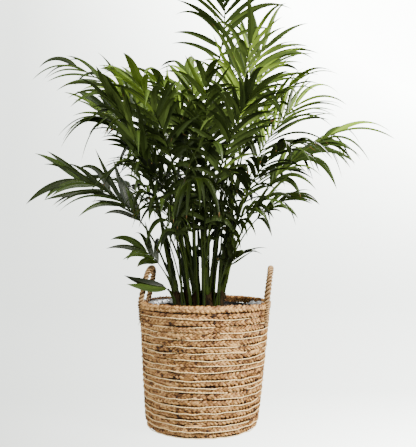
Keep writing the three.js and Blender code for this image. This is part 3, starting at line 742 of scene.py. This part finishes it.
def add_crumb(shape, centre, size, number):
    """A lump of peat or bark: a rough six-sided spindle"""
    axis = outward(math.pi * vary(number, 7, 4)) + 0.3 * vary(number, 9, 6) * UP
    axis.normalize()
    stretch = 1 + 0.8 * abs(vary(number, 8, 5))
    side = axis.cross(UP).normalized()
    top = side.cross(axis)
    rings = []
    for at, width in ((-1, 0.25), (-0.5, 0.9), (0.45, 1), (1, 0.3)):
        ring = []
        for k, turn in enumerate(angles(6)):
            reach = size * width * (1 + 0.25 * vary(number, k, at))
            offset = side * math.cos(turn) + top * math.sin(turn) * 0.7
            ring.append(centre + axis * at * size * stretch + offset * reach)
        rings.append(ring)
    shape.skin(rings, 1 if vary(number, 2, 9) > 0 else 0)


# The plant grows by the part's own rule.


class Line:
    """The line of a stem or a frond's rib, in the crown's frame"""

    def __init__(self, foot, azimuth, tilt, length, bend=1.0, sweep=0.0):
        self.points = [Vector(foot)]
        self.ways = []
        self.turns = []
        for i in range(LINE_STEPS + 1):
            share = i / LINE_STEPS
            lean = math.radians(lerp(*tilt, share ** bend))
            turn = math.radians(azimuth + sweep * share)
            way = Vector((math.sin(lean) * math.cos(turn), math.sin(lean) * math.sin(turn), math.cos(lean)))
            self.turns.append(turn)
            self.ways.append(way)
            self.points.append(self.points[i] + way * length / LINE_STEPS)

    def between(self, places, share):
        i = min(int(share * LINE_STEPS), LINE_STEPS - 1)
        return places[i].lerp(places[i + 1], share * LINE_STEPS - i)

    def point(self, share):
        return self.between(self.points, share)

    def way(self, share):
        return self.between(self.ways, share).normalized()

    def across(self, share, roll=0.0):
        """The level direction across the line and the one that points up from it, turned by a roll"""
        turn = self.turns[round(share * LINE_STEPS)]
        level = Vector((-math.sin(turn), math.cos(turn), 0))
        level.rotate(Matrix.Rotation(math.radians(roll), 3, self.way(share)))
        return level, self.way(share).cross(level)


STEMS = {
    "stem_left": dict(foot=(-55, -8), azimuth=180, tilt=(9, 14), length=190, radius=(8.5, 5.5)),
    "stem_front_left": dict(foot=(-12, -26), azimuth=182, tilt=(6, 11), length=205, radius=(7.5, 5)),
    "stem_front": dict(foot=(17, -34), azimuth=182, tilt=(7, 4), length=150, radius=(7.5, 5)),
    "stem_middle": dict(foot=(6, 4), azimuth=90, tilt=(1, 3), length=300, radius=(8, 5.5)),
    "stem_right": dict(foot=(40, -2), azimuth=0, tilt=(9, 3), length=300, radius=(8.5, 6)),
    "stem_back_left": dict(foot=(-30, 30), azimuth=160, tilt=(7, 10), length=240, radius=(7.5, 5)),
    "stem_back_right": dict(foot=(22, 40), azimuth=50, tilt=(6, 9), length=250, radius=(7.5, 5)),
    "stem_slim_left": dict(foot=(-34, -2), azimuth=175, tilt=(4, 7), length=330, radius=(4.5, 2.5)),
    "stem_slim_middle": dict(foot=(-11, -3), azimuth=190, tilt=(2, 4), length=340, radius=(4.5, 2.5)),
    "stem_slim_right": dict(foot=(26, 18), azimuth=20, tilt=(3, 8), length=330, radius=(4.5, 2.5)),
}

# A frond's rib bends from the first tilt to the second. bare is the share of it without leaflets, and pairs,
# leaf, width and splay are the part's leaflets. lift raises them beside the rib, droop bends them down, and
# roll turns the frond round its rib. tone is its place in the order of leaf tones, as painted light and
# shade: higher for fronds in the light, lower for those in the crown's shade. slim is its leaflets' width as
# a share of the part's, finer how many it has for each one of the part's, limp the share that hangs limp,
# and fork the splay of its tip.
USUAL_FROND = dict(
    stem=None, rise=0.0, foot=None, bend=1.4, sweep=0.0, rib=3.0, bare=0.45, pairs=7, leaf=130, width=17,
    splay=(62, 26), lift=16, droop=0.3, roll=0.0, tone=1.6, slim=0.74, finer=1.6, limp=0.15, fork=14,
)


def on(stem, rise, azimuth, tilt, length, **more):
    """A frond that grows from a stem, at a share of its height"""
    place = dict(stem="stem_" + stem, rise=rise, azimuth=azimuth, tilt=tilt, length=length)
    return {**USUAL_FROND, **place, **more}


def from_soil(foot, azimuth, tilt, length, **more):
    """A frond whose foot is on the soil"""
    return {**USUAL_FROND, **dict(foot=foot, azimuth=azimuth, tilt=tilt, length=length), **more}


# The stem and the share of its height, or the foot on the soil, then the azimuth, tilt and length
FRONDS = {
    # The left of the crown
    "left_low": on("left", 0.5, 187, (20, 75), 318, bend=1.2, bare=0.42, leaf=140, width=20, splay=(28, 32),
        droop=0.35, roll=-58, tone=1.9, slim=0.76, finer=1.3, limp=0, fork=27),
    "left_bottom": on("left", 0.35, 204, (28, 56), 98, rib=2, bare=0.55, pairs=3, leaf=106, width=16,
        splay=(58, 28), roll=-50, tone=2.0, slim=1.05, finer=1.0, limp=0),
    "left_forked": on("left", 0.18, 214, (36, 66), 38, rib=2, bare=0.7, pairs=1, leaf=126, width=19,
        splay=(30, 20), lift=-20, droop=-0.08, roll=-70, tone=1.7, slim=1.1, limp=0, fork=18),
    "left_young": from_soil((-36, -34), 206, (12, 34), 330, rib=2, bare=0.74, pairs=3, leaf=95, width=12,
        tone=1.7),
    "left_inner": on("left", 1, 164, (13, 35), 285, bare=0.5, pairs=5, leaf=108, droop=0.6, finer=2.1),
    "left_long": on("front_left", 1, 182, (9, 67), 482, bend=1.2, bare=0.42, leaf=134, width=13,
        splay=(40, 20), droop=0.5, roll=-60, tone=0.7, limp=0),
    "left_hanging": on("front_left", 0.5, 222, (16, 130), 350, bend=3, bare=0.5, leaf=90, width=14,
        tone=1.3),
    "left_wide": on("back_left", 1, 176, (24, 47), 320, bend=0.95, bare=0.42, pairs=6, leaf=128, width=19,
        splay=(36, 14), roll=-40, slim=1.0, finer=1.25, limp=0),
    "left_fan": on("middle", 0.5, 168, (7, 50), 436, bend=1.5, bare=0.5, leaf=158, width=19, splay=(46, 22),
        roll=-55, tone=2.0, slim=1.0, finer=1.25, limp=0),
    "left_front": on("left", 0.7, 242, (15, 58), 392, pairs=6, splay=(30, 14), droop=0.25, tone=2.1,
        slim=0.9),
    "left_back": on("left", 0.75, 116, (20, 62), 350, pairs=5, leaf=112, tone=1.0),
    "left_upright": on("back_left", 0.85, 207, (13, 36), 340, pairs=6, leaf=135, tone=2.3, finer=1.4,
        limp=0),
    # The middle of the crown
    "top": on("middle", 1, 0, (2, 84), 540, bend=2, sweep=-120, bare=0.58, leaf=160, width=15, tone=1.4,
        slim=0.8, limp=0),
    "centre_fan": on("middle", 0.8, 108, (6, 40), 410, leaf=145, width=20, splay=(52, 20), slim=1.0,
        finer=1.25, limp=0),
    "middle_left": on("middle", 0.7, 232, (8, 50), 345, leaf=122, width=18, droop=0.45, tone=2.2, finer=2.1),
    "middle_front": on("middle", 0.58, 272, (7, 48), 385, leaf=124, droop=0.4, finer=2.1),
    "front_centre": on("front", 1, 260, (5, 108), 250, bend=1.2, bare=0.4, pairs=6, leaf=140, width=18,
        splay=(74, 30), droop=0.9, roll=30, finer=1.0, limp=0.7),
    "front_left": on("front_left", 0.75, 244, (12, 60), 405, pairs=6, tone=2.3, finer=2.1),
    "front_right": on("front", 0.7, 296, (10, 60), 430, tone=2.3, finer=2.1),
    # The right of the crown
    "right_top": on("right", 1, 8, (3, 28), 350, bare=0.52, leaf=168, width=16, splay=(54, 30), roll=70,
        tone=1.8, slim=0.66, finer=1.8, limp=0),
    "right_upper": on("right", 0.55, 8, (12, 47), 380, bend=1.5, bare=0.52, leaf=165, width=12,
        splay=(50, 24), droop=0.4, roll=46, tone=1.8, slim=0.8, finer=1.8, limp=0),
    "right_main": on("right", 0.36, 354, (17, 64.5), 410, bend=1.2, bare=0.52, leaf=165, width=20,
        splay=(36, 26), droop=0.85, roll=34, tone=2.9, slim=1.0, limp=0),
    "right_near": on("right", 0.38, 306, (14, 82), 370, leaf=115, droop=0.5, tone=1.9),
    "right_low": on("right", 0.22, 343, (9, 68), 264, bend=1.1, rib=2.4, bare=0.62, pairs=4, leaf=108,
        width=14, splay=(44, 20), droop=0.5, roll=30, tone=2.3, slim=0.9),
    "right_small": on("right", 0.24, 300, (26, 60), 80, rib=1.8, bare=0.5, pairs=2, leaf=80, width=12,
        slim=1.3, limp=0),
    "right_young": from_soil((28, -50), 350, (12, 44), 300, rib=2, bare=0.74, pairs=3, leaf=90, width=12,
        tone=2.4),
    "right_high": on("right", 0.78, 285, (9, 40), 400, leaf=150, width=15, tone=2.0, slim=0.72),
    "right_back": on("right", 0.68, 58, (12, 60), 430, pairs=5, tone=1.3, slim=0.8, finer=1.3),
    "right_inner": on("back_right", 0.85, 338, (12, 52), 380, leaf=140, width=15, tone=2.3, finer=1.55),
    # The back of the crown
    "back_left": on("back_left", 0.8, 132, (15, 62), 500, pairs=6, leaf=140, tone=1.4),
    "back": on("back_right", 0.75, 96, (12, 60), 520, pairs=6, leaf=140, tone=0.9),
    "back_right": on("back_right", 1, 48, (9, 58), 480, pairs=6, leaf=140, tone=1.1),
    "back_high": on("middle", 0.9, 54, (9, 36), 400, pairs=6, tone=1.5),
    "back_low_left": on("back_left", 0.45, 146, (24, 80), 350, pairs=5, tone=1.9),
    "back_low": on("back_left", 0.5, 98, (22, 82), 380, pairs=5, tone=2.0),
    "back_low_right": on("back_right", 0.45, 46, (24, 78), 390, pairs=5, tone=2.0),
    # Low leaves among the stems
    "inner_arching": on("back_left", 0.9, 184, (22, 66), 300, bend=3, rib=2.4, bare=0.9, pairs=1, leaf=165,
        width=22, splay=(24, 14), droop=0.9, roll=-16, tone=1.9),
    "inner_left": from_soil((-26, -48), 226, (8, 58), 300, bend=2, rib=2.4, bare=0.6, pairs=4, leaf=108,
        splay=(70, 30), droop=0.9, tone=1.8, slim=0.68, finer=1.7, limp=0.35),
    "inner_front": from_soil((6, -56), 276, (1, 44), 385, bend=2.4, rib=2.6, bare=0.5, pairs=6, leaf=124,
        width=18, splay=(74, 30), droop=0.9, tone=1.8, slim=0.68, finer=1.3, limp=0.35),
    "inner_right": from_soil((40, -26), 344, (2, 62), 290, bend=2, rib=2.4, bare=0.6, pairs=4, leaf=104,
        splay=(66, 26), droop=0.7, roll=30, tone=1.9, slim=0.68, finer=1.7, limp=0.35),
    "inner_back": from_soil((-8, 26), 100, (2, 48), 415, bend=2, rib=2.8, bare=0.56, pairs=6, leaf=132,
        width=19, splay=(72, 30), droop=0.9, tone=1.4, slim=0.68, finer=1.3, limp=0.35),
}


def stem_radius(row, share):
    flare = max(1, lerp(STEM_FLARE, 1, share * row["length"] / STEM_FLARE_HEIGHT))
    return flare * lerp(*row["radius"], share)


def limb_ring(line, share, sides, radius):
    """A ring round a limb, first corner on its upper side. radius is a function of the turn."""
    level, upper = line.across(share)
    return ring_round(line.point(share), upper, -level, sides, radius)


def make_stems():
    """Canes with leaf scars, fine grooves and torn brown sheaths at the foot"""
    shape = Shape()
    lines = {}
    for number, (name, row) in enumerate(STEMS.items()):
        line = Line((*row["foot"], 0), row["azimuth"], row["tilt"], row["length"])
        lines[name] = line
        rings = []
        steps = round(row["length"] / STEM_STEP)
        for i in range(steps + 1):
            scar = abs(math.remainder(i + 5 * number, SCAR_STEPS)) < 0.6
            swell = 1.07 if scar else 1 + 0.02 * vary(number, i // 5, 1)
            radius = swell * stem_radius(row, i / steps)
            rings.append(limb_ring(
                line, i / steps, STEM_SIDES, lambda turn: radius * (1 + 0.035 * math.cos(7 * turn + number))
            ))
        husk = (HUSK_HEIGHT + 10 * vary(number, 1, 8)) / STEM_STEP
        shape.skin(rings, lambda i, k: 1 if i < husk + 3 * vary(number, k, 5) else 0)
        for layer in range(SHEATHS):
            add_sheath(shape, line, row, number, layer)
    for index, frond in enumerate(FRONDS.values()):
        if frond["stem"]:
            add_clasp(shape, frond, lines, index)
    # The canes' green is painted very dark, as the shade under the crown.
    green = ((0.002, 0.0045, 0.0005), (0.020, 0.034, 0.003))
    brown = ((0.004, 0.0025, 0.001), (0.034, 0.019, 0.006))
    fresh = ((0.004, 0.008, 0.001), (0.032, 0.048, 0.005))
    finishes = [
        make_material("cane_green", *green, 0.38, (110, 110, 18), 0.25, shine=0.12, fine=(700, 700, 60)),
        make_material("cane_husk", *brown, 0.8, (240, 240, 40), 0.8, shine=0.1),
        make_material("clasp_green", *fresh, 0.38, (120, 120, 14), 0.25, shine=0.12, fine=(800, 800, 60)),
    ]
    make_piece("stems", shape, finishes, list(STEMS), ON_SOIL, sharp=55)
    return lines


def add_sheath(shape, line, row, number, layer):
    """An old brown leaf base that wraps the foot of a stem and stands off it at its torn top"""
    low = 5 * layer
    top = 18 + 15 * layer + 7 * vary(number, layer, 2)
    rings = []
    for j in range(SHEATH_LEVELS + 1):
        up = j / SHEATH_LEVELS
        share = lerp(low, top, up) / row["length"]
        level, upper = line.across(share)
        reach = 1.04 * stem_radius(row, share) + 0.9 + 0.5 * layer + 2.4 * up ** 3
        ring = []
        for k in range(SHEATH_COLUMNS + 1):
            edge = lerp(-1, 1, k / SHEATH_COLUMNS)
            turn = 2.1 * layer + number + SHEATH_WRAP * edge
            torn = (1 - 0.55 * edge * edge) * (1 + 0.12 * vary(number + layer, k, 3)) if up == 1 else 1
            rise = lerp(low, top * torn, up) / row["length"]
            ring.append(line.point(rise) + upper * reach * math.cos(turn) - level * reach * math.sin(turn))
        rings.append(ring)
    shape.skin(rings, 1, capped=False, looped=False)


def young_frond(number):
    """A slender young frond that rises from the soil among the stems, with a few narrow leaflets"""
    angle = 2 * math.pi * (number + 0.4 * vary(number, 1, 21)) / SHOOTS
    reach = lerp(14, 60, abs(vary(number, 2, 22)))
    foot = (reach * math.cos(angle), reach * math.sin(angle))
    azimuth = math.degrees(angle) + 40 * vary(number, 5, 25)
    lean = 5 + 4 * vary(number, 3, 23)
    length = 330 + 80 * vary(number, 4, 24)
    bare = 0.5 + 0.12 * vary(number, 6, 26)
    return from_soil(foot, azimuth, (lean, lean + 12), length, bare=bare, **YOUNG_LEAFLETS)


def rib_foot(frond, lines):
    """The foot of a frond's rib, clear of the soil or of its stem's tip or side, as in the part"""
    tilt = math.radians(frond["tilt"][0])
    if frond["foot"]:
        return Vector((*frond["foot"], frond["rib"] * math.sin(tilt)))
    row = STEMS[frond["stem"]]
    line = lines[frond["stem"]]
    toward = outward(math.radians(frond["azimuth"]))
    if frond["rise"] == 1:
        way = toward * math.sin(tilt) + UP * math.cos(tilt)
        return line.point(1) + line.way(1) * (GAP + frond["rib"] * math.sin(way.angle(line.way(1))))
    lean = math.radians(lerp(*row["tilt"], frond["rise"]))
    apart = math.radians(frond["azimuth"] - row["azimuth"])
    surface = stem_radius(row, frond["rise"]) / math.cos(lean)
    near = frond["rib"] * (math.cos(tilt) + math.sin(tilt) * math.tan(lean) * math.cos(apart))
    return line.point(frond["rise"]) + toward * (surface + near + GAP)


def rib_line(frond, lines):
    foot = rib_foot(frond, lines)
    return Line(foot, frond["azimuth"], frond["tilt"], frond["length"], frond["bend"], frond["sweep"])


def add_clasp(shape, frond, lines, index):
    """The leaf base that clasps a stem below its frond and narrows into the frond's rib"""
    row = STEMS[frond["stem"]]
    stem = lines[frond["stem"]]
    rib = rib_line(frond, lines)
    reach = CLASP_REACH + 10 * vary(index, 1, 3)
    rings = []
    for j in range(CLASP_STEPS + 1):
        t = j / CLASP_STEPS
        blend = smooth(0.35, 1, t)
        share = clamp(frond["rise"] - reach * (1 - t) / row["length"], 0.01, 1)
        on_rib = rib.point(0) + rib.way(0) * (16 * (t - 1) + 22 * t)
        centre = stem.point(share).lerp(on_rib, blend)
        radius = lerp(1.13 * stem_radius(row, share) + 0.4, 1.06 * frond["rib"], blend)
        way = stem.way(share).lerp(rib.way(0), blend).normalized()
        side = way.cross(Vector((0.2, 0.1, 0))).normalized()
        rings.append(ring_round(centre, side.cross(way), side, CLASP_SIDES, radius))
    shape.skin(rings, 2)


def leaflets_of(frond, index):
    """The leaflets of a frond, in pairs that stand a little unevenly. Some hang limp."""
    pairs = round(frond["pairs"] * frond["finer"])
    for i in range(pairs + 1):
        fork = i == pairs
        for side in (1, -1):
            number = 2 * i + (0 if side > 0 else 1)
            u = 1 if fork else clamp((i + 0.3 + 0.2 * side + 0.28 * vary(index, number, 13)) / pairs)
            swell = min(lerp(0.68, 1, u / 0.4), lerp(1, 0.74, (u - 0.4) / 0.6))
            splay = 0.88 * lerp(*frond["splay"], u) + 8 * vary(index, number, 1)
            length = frond["leaf"] * (FORK_LENGTH if fork else 1.06 * swell)
            width = frond["width"] * frond["slim"] * (FORK_WIDTH if fork else 1)
            limp = vary(index, number, 14) > 1 - 2 * frond["limp"] and not fork
            yield dict(
                side=side,
                number=number,
                share=FORK_SHARE if fork else lerp(frond["bare"], LAST_LEAFLET, u),
                splay=frond["fork"] if fork else splay,
                length=length * (1 + 0.13 * vary(index, number, 2)),
                width=width * (1 + 0.2 * vary(index, number, 3)),
                hang=frond["droop"] * (1 + 0.5 * vary(index, number, 6)) + (LIMP_HANG if limp else 0),
            )


def leaflet_width(t):
    """A leaflet's width along its length, as a share of its greatest"""
    if t < LEAFLET_WIDEST:
        return lerp(LEAFLET_FOOT, 1, math.sin(math.pi / 2 * t / LEAFLET_WIDEST))
    return max(1 - ((t - LEAFLET_WIDEST) / (1 - LEAFLET_WIDEST)) ** 1.8, 0.015)


def leaflet_rings(line, frond, index, leaflet, turn):
    """The sections of a leaflet, folded at its midrib, that hangs more towards its tip, bows and curls"""
    side, number, share = leaflet["side"], leaflet["number"], leaflet["share"]
    level, upper = line.across(share, frond["roll"])
    splay = math.radians(leaflet["splay"])
    raised = math.radians(frond["lift"] + 6 * vary(index, number, 4) + turn)
    start = line.way(share) * math.cos(splay)
    start += level * side * math.sin(splay) * math.cos(raised)
    start += upper * math.sin(splay) * math.sin(raised)
    flat = line.way(share) * -side
    flat = (flat - start * flat.dot(start)).normalized()
    flat.rotate(Matrix.Rotation(math.radians(LEAFLET_TWIST * vary(index, number, 5)), 3, start))
    hang = LEAFLET_HANG * leaflet["hang"]
    bow = LEAFLET_BOW * vary(index, number, 7)
    curl = LEAFLET_CURL * vary(index, number, 8)
    point = line.point(share)
    rings = []
    for i in range(LEAFLET_STEPS + 1):
        t = i / LEAFLET_STEPS
        way = (start - UP * hang * t ** 1.4 + flat * bow * (2 * t - 1)).normalized()
        if i:
            point = point + way * leaflet["length"] / LEAFLET_STEPS
        flat = (flat - way * flat.dot(way)).normalized()
        flat.rotate(Matrix.Rotation(2 * curl * t / LEAFLET_STEPS, 3, way))
        face = way.cross(flat)
        half = leaflet_width(t) * leaflet["width"] / 2
        rib = min(MIDRIB_HALF_WIDTH * (1.25 - t), 0.6 * half)
        drop = LEAFLET_FOLD * half
        rings.append([
            point + flat * half - face * drop,
            point + flat * rib,
            point + face * MIDRIB_HEIGHT * (1 - 0.8 * t),
            point - flat * rib,
            point - flat * half - face * drop,
            point - face * BLADE_THICKNESS * (1 - 0.7 * t),
        ])
    return rings


def in_handle(point, ropes):
    """Whether a point of the crown is in the space for a hand under a handle or touches the rope"""
    at = ON_SOIL @ point / MM
    aside = abs(at.x - BASKET_LEAN)
    if at.z > BASKET_HEIGHT + HANDLE_RISE + ROPE_CLEARANCE or aside < HAND_SPACE_FROM:
        return False
    under = abs(at.y) < HAND_SPACE_HALF_WIDTH and at.z < BASKET_HEIGHT + HAND_SPACE_RISE
    if under and aside < HAND_SPACE_TO:
        return True
    return any((at - knot).length < ROPE_CLEARANCE for knot in ropes)


def in_basket(point):
    """Whether a point of the crown is in the basket's wall, or outside it and lower than the rim"""
    at = ON_SOIL @ point / MM
    off = math.hypot(at.x - BASKET_LEAN, at.y)
    return at.z < BASKET_HEIGHT + RIM_CLEARANCE and off > inner_radius(WALL_TOP) - WALL_CLEARANCE


def clear_rings(line, frond, index, leaflet, ropes):
    """The leaflet turned as little as keeps it clear of the basket and its handles, or None if that fails"""
    for turn in LEAFLET_TURNS:
        rings = leaflet_rings(line, frond, index, leaflet, turn)
        if not any(in_handle(ring[2], ropes) or in_basket(ring[2]) for ring in rings):
            return rings
    return None


def add_leaflet(shapes, rings, frond, index, number):
    """Skins a leaflet in a varied tone, with more painted light higher up. Some have a withered tip."""
    rise = smooth(*PAINTED_LIGHT_TOP, rings[LEAFLET_STEPS * 2 // 3][2].z)
    level = frond["tone"] + PAINTED_LIGHT_GAIN * rise - 0.5 + 0.9 * vary(index, number, 9)
    withered = LEAFLET_STEPS - (vary(index, number, 11) > 0.55) - (vary(index, number, 12) > 0.86)
    shape = shapes[round(clamp(level, 0, len(shapes) - 1))]
    shape.skin(rings, lambda i, k: LEAFLET_TIP if i >= withered else LEAFLET_SIDES[k])


def add_rib(shape, line, frond):
    """A rib with a shallow channel on its upper side"""
    rings = []
    for i in range(RIB_STEPS + 1):
        radius = lerp(frond["rib"], RIB_TIP_RADIUS, i / RIB_STEPS)
        rings.append(limb_ring(
            line, i / RIB_STEPS, RIB_SIDES, lambda turn: radius * (1 - 0.22 * max(0, math.cos(turn)) ** 4)
        ))
    shape.skin(rings, {"stem_right": 1, None: 2}.get(frond["stem"], 0))


def make_crown(lines):
    """The fronds' ribs, and their leaflets as one piece for each tone"""
    shapes = [Shape() for tone in LEAF_TONES]
    ribs = Shape()
    ropes = handle_points(-1)[::4] + handle_points(1)[::4]
    fronds = [*FRONDS.values(), *map(young_frond, range(SHOOTS))]
    for index, frond in enumerate(fronds, 1):
        line = rib_line(frond, lines)
        add_rib(ribs, line, frond)
        for leaflet in leaflets_of(frond, index):
            rings = clear_rings(line, frond, index, leaflet, ropes)
            if rings:
                add_leaflet(shapes, rings, frond, index, leaflet["number"])
    for tone, shape in zip(LEAF_TONES, shapes):
        make_piece("leaflets_" + tone, shape, leaf_materials(tone), (), ON_SOIL, sharp=32)
    finishes = [
        make_material("rib_" + name, dark, light, 0.38, (0.02, 0.6, 1), 0.15, shine=0.15, space="UV")
        for name, (dark, light) in RIB_TONES.items()
    ]
    make_piece("ribs", ribs, finishes, ["frond_" + name for name in FRONDS], ON_SOIL)


# Camera, floor and light


def make_camera():
    data = bpy.data.cameras.new("camera")
    data.lens = LENS
    data.sensor_width = SENSOR
    camera = bpy.data.objects.new("camera", data)
    turn = math.radians(VIEW_TURN)
    back = Vector((math.sin(turn), -math.cos(turn), 0))
    camera.location = back * VIEW_DISTANCE + outward(turn) * VIEW_SIDE + UP * VIEW_HEIGHT
    camera.rotation_euler = (math.radians(90 + VIEW_TILT), 0, turn)
    bpy.context.scene.collection.objects.link(camera)
    bpy.context.scene.camera = camera


def make_light(name, at, size, power, colour):
    """A soft round light aimed at the middle of the plant"""
    data = bpy.data.lights.new(name, "AREA")
    data.shape = "DISK"
    data.size = size
    data.energy = power
    data.color = colour
    light = bpy.data.objects.new(name, data)
    light.location = at
    light.rotation_euler = (Vector(at) - Vector(LIGHT_AIM)).to_track_quat("Z", "Y").to_euler()
    bpy.context.scene.collection.objects.link(light)


def make_room():
    """A round floor that curves up into the wall and the ceiling of a room, all facing inwards"""
    profile = [(0.002, 0)] + [(share * FLOOR_REACH, 0) for share in (0.1, 0.25, 0.5, 0.75, 1)]
    for j in range(1, COVE_STEPS + 1):
        turn = math.pi / 2 * j / COVE_STEPS
        profile.append((FLOOR_REACH + COVE * math.sin(turn), COVE * (1 - math.cos(turn))))
    dome = FLOOR_REACH + COVE
    for j in range(1, COVE_STEPS + 1):
        turn = math.pi / 2 * j / (COVE_STEPS + 0.1)  # stops just short of the middle
        profile.append((dome * math.cos(turn), COVE + dome * math.sin(turn)))
    columns = [[upright_point(r, -angle, z) for r, z in profile] for angle in angles(ROOM_SIDES)]
    shape = Shape()
    shape.skin(columns, closed=True, looped=False)
    mesh = bpy.data.meshes.new("room")
    mesh.from_pydata([tuple(p) for p in shape.points], [], shape.faces)
    mesh.polygons.foreach_set("use_smooth", [True] * len(shape.faces))
    return mesh


def make_paint():
    """A dark paint with a pale glow, so that the wall's tones are the glow's and hardly those of the lamps"""
    material = make_material("room_paint", [ROOM_ALBEDO * 0.99] * 3, [ROOM_ALBEDO] * 3, 0.8, (3, 3, 3), 0.1)
    nodes = material.node_tree.nodes
    links = material.node_tree.links
    shader = nodes["Principled BSDF"]
    shader.inputs["Specular IOR Level"].default_value = 0.1
    shader.inputs["Emission Color"].default_value = GLOW_COLOUR
    place = nodes.new("ShaderNodeTexCoord")
    split = nodes.new("ShaderNodeSeparateXYZ")
    links.new(place.outputs["Object"], split.inputs["Vector"])

    def reckon(operation, *values):
        node = nodes.new("ShaderNodeMath")
        node.operation = operation
        for socket, value in zip(node.inputs, values):
            if isinstance(value, bpy.types.NodeSocket):
                links.new(value, socket)
            else:
                socket.default_value = value
        return node.outputs["Value"]

    x, y, z = split.outputs
    spread = reckon("MULTIPLY_ADD", y, VIEW_WIDENING, VIEW_HALF_WIDTH)
    aside = reckon("DIVIDE", x, reckon("MAXIMUM", spread, VIEW_HALF_WIDTH_LEAST))
    aside = reckon("MAXIMUM", reckon("MINIMUM", aside, 1), -1)
    near = reckon("MULTIPLY_ADD", y, -1, FRONT_FROM)
    near = reckon("MINIMUM", reckon("MAXIMUM", near, 0), FRONT_REACH)
    level = reckon("MULTIPLY_ADD", aside, GLOW_ASIDE, GLOW)
    for measure, (middle, more) in ((z, GLOW_RISE), (near, GLOW_FRONT)):
        gain = reckon("MULTIPLY_ADD", aside, more, middle)
        level = reckon("MULTIPLY_ADD", gain, measure, level)
    glow = reckon("EXPONENT", reckon("MINIMUM", level, GLOW_MOST))
    links.new(glow, shader.inputs["Emission Strength"])
    return material


def make_studio():
    world = bpy.data.worlds.new("studio")
    world.use_nodes = True
    background = world.node_tree.nodes["Background"]
    background.inputs["Color"].default_value = AMBIENT_COLOUR
    background.inputs["Strength"].default_value = AMBIENT
    bpy.context.scene.world = world
    mesh = make_room()
    mesh.materials.append(make_paint())
    room = bpy.data.objects.new("room", mesh)
    # The camera sees the room, and the plant isn't lit by it.
    room.visible_diffuse = False
    room.visible_glossy = False
    room.visible_shadow = False
    bpy.context.scene.collection.objects.link(room)
    make_light("key", (2.6, -1.5, 2.3), 1.5, 370, (1, 0.975, 0.94))
    make_light("fill", (-2.2, -2.4, 1.2), 2.4, 95, (1, 1, 1))
    make_light("back", (1.6, 2.4, 2.2), 1.6, 110, (1, 0.98, 0.95))


make_camera()
make_studio()
straw = make_straws()
make_wall(straw)
make_backing()
make_strips(straw)
make_rim(straw)
make_twine()
make_handles()
make_liner()
make_pot()
make_soil()
make_crown(make_stems())
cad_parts["basket_floor"].data.materials.clear()
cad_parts["basket_floor"].data.materials.append(straw[1])
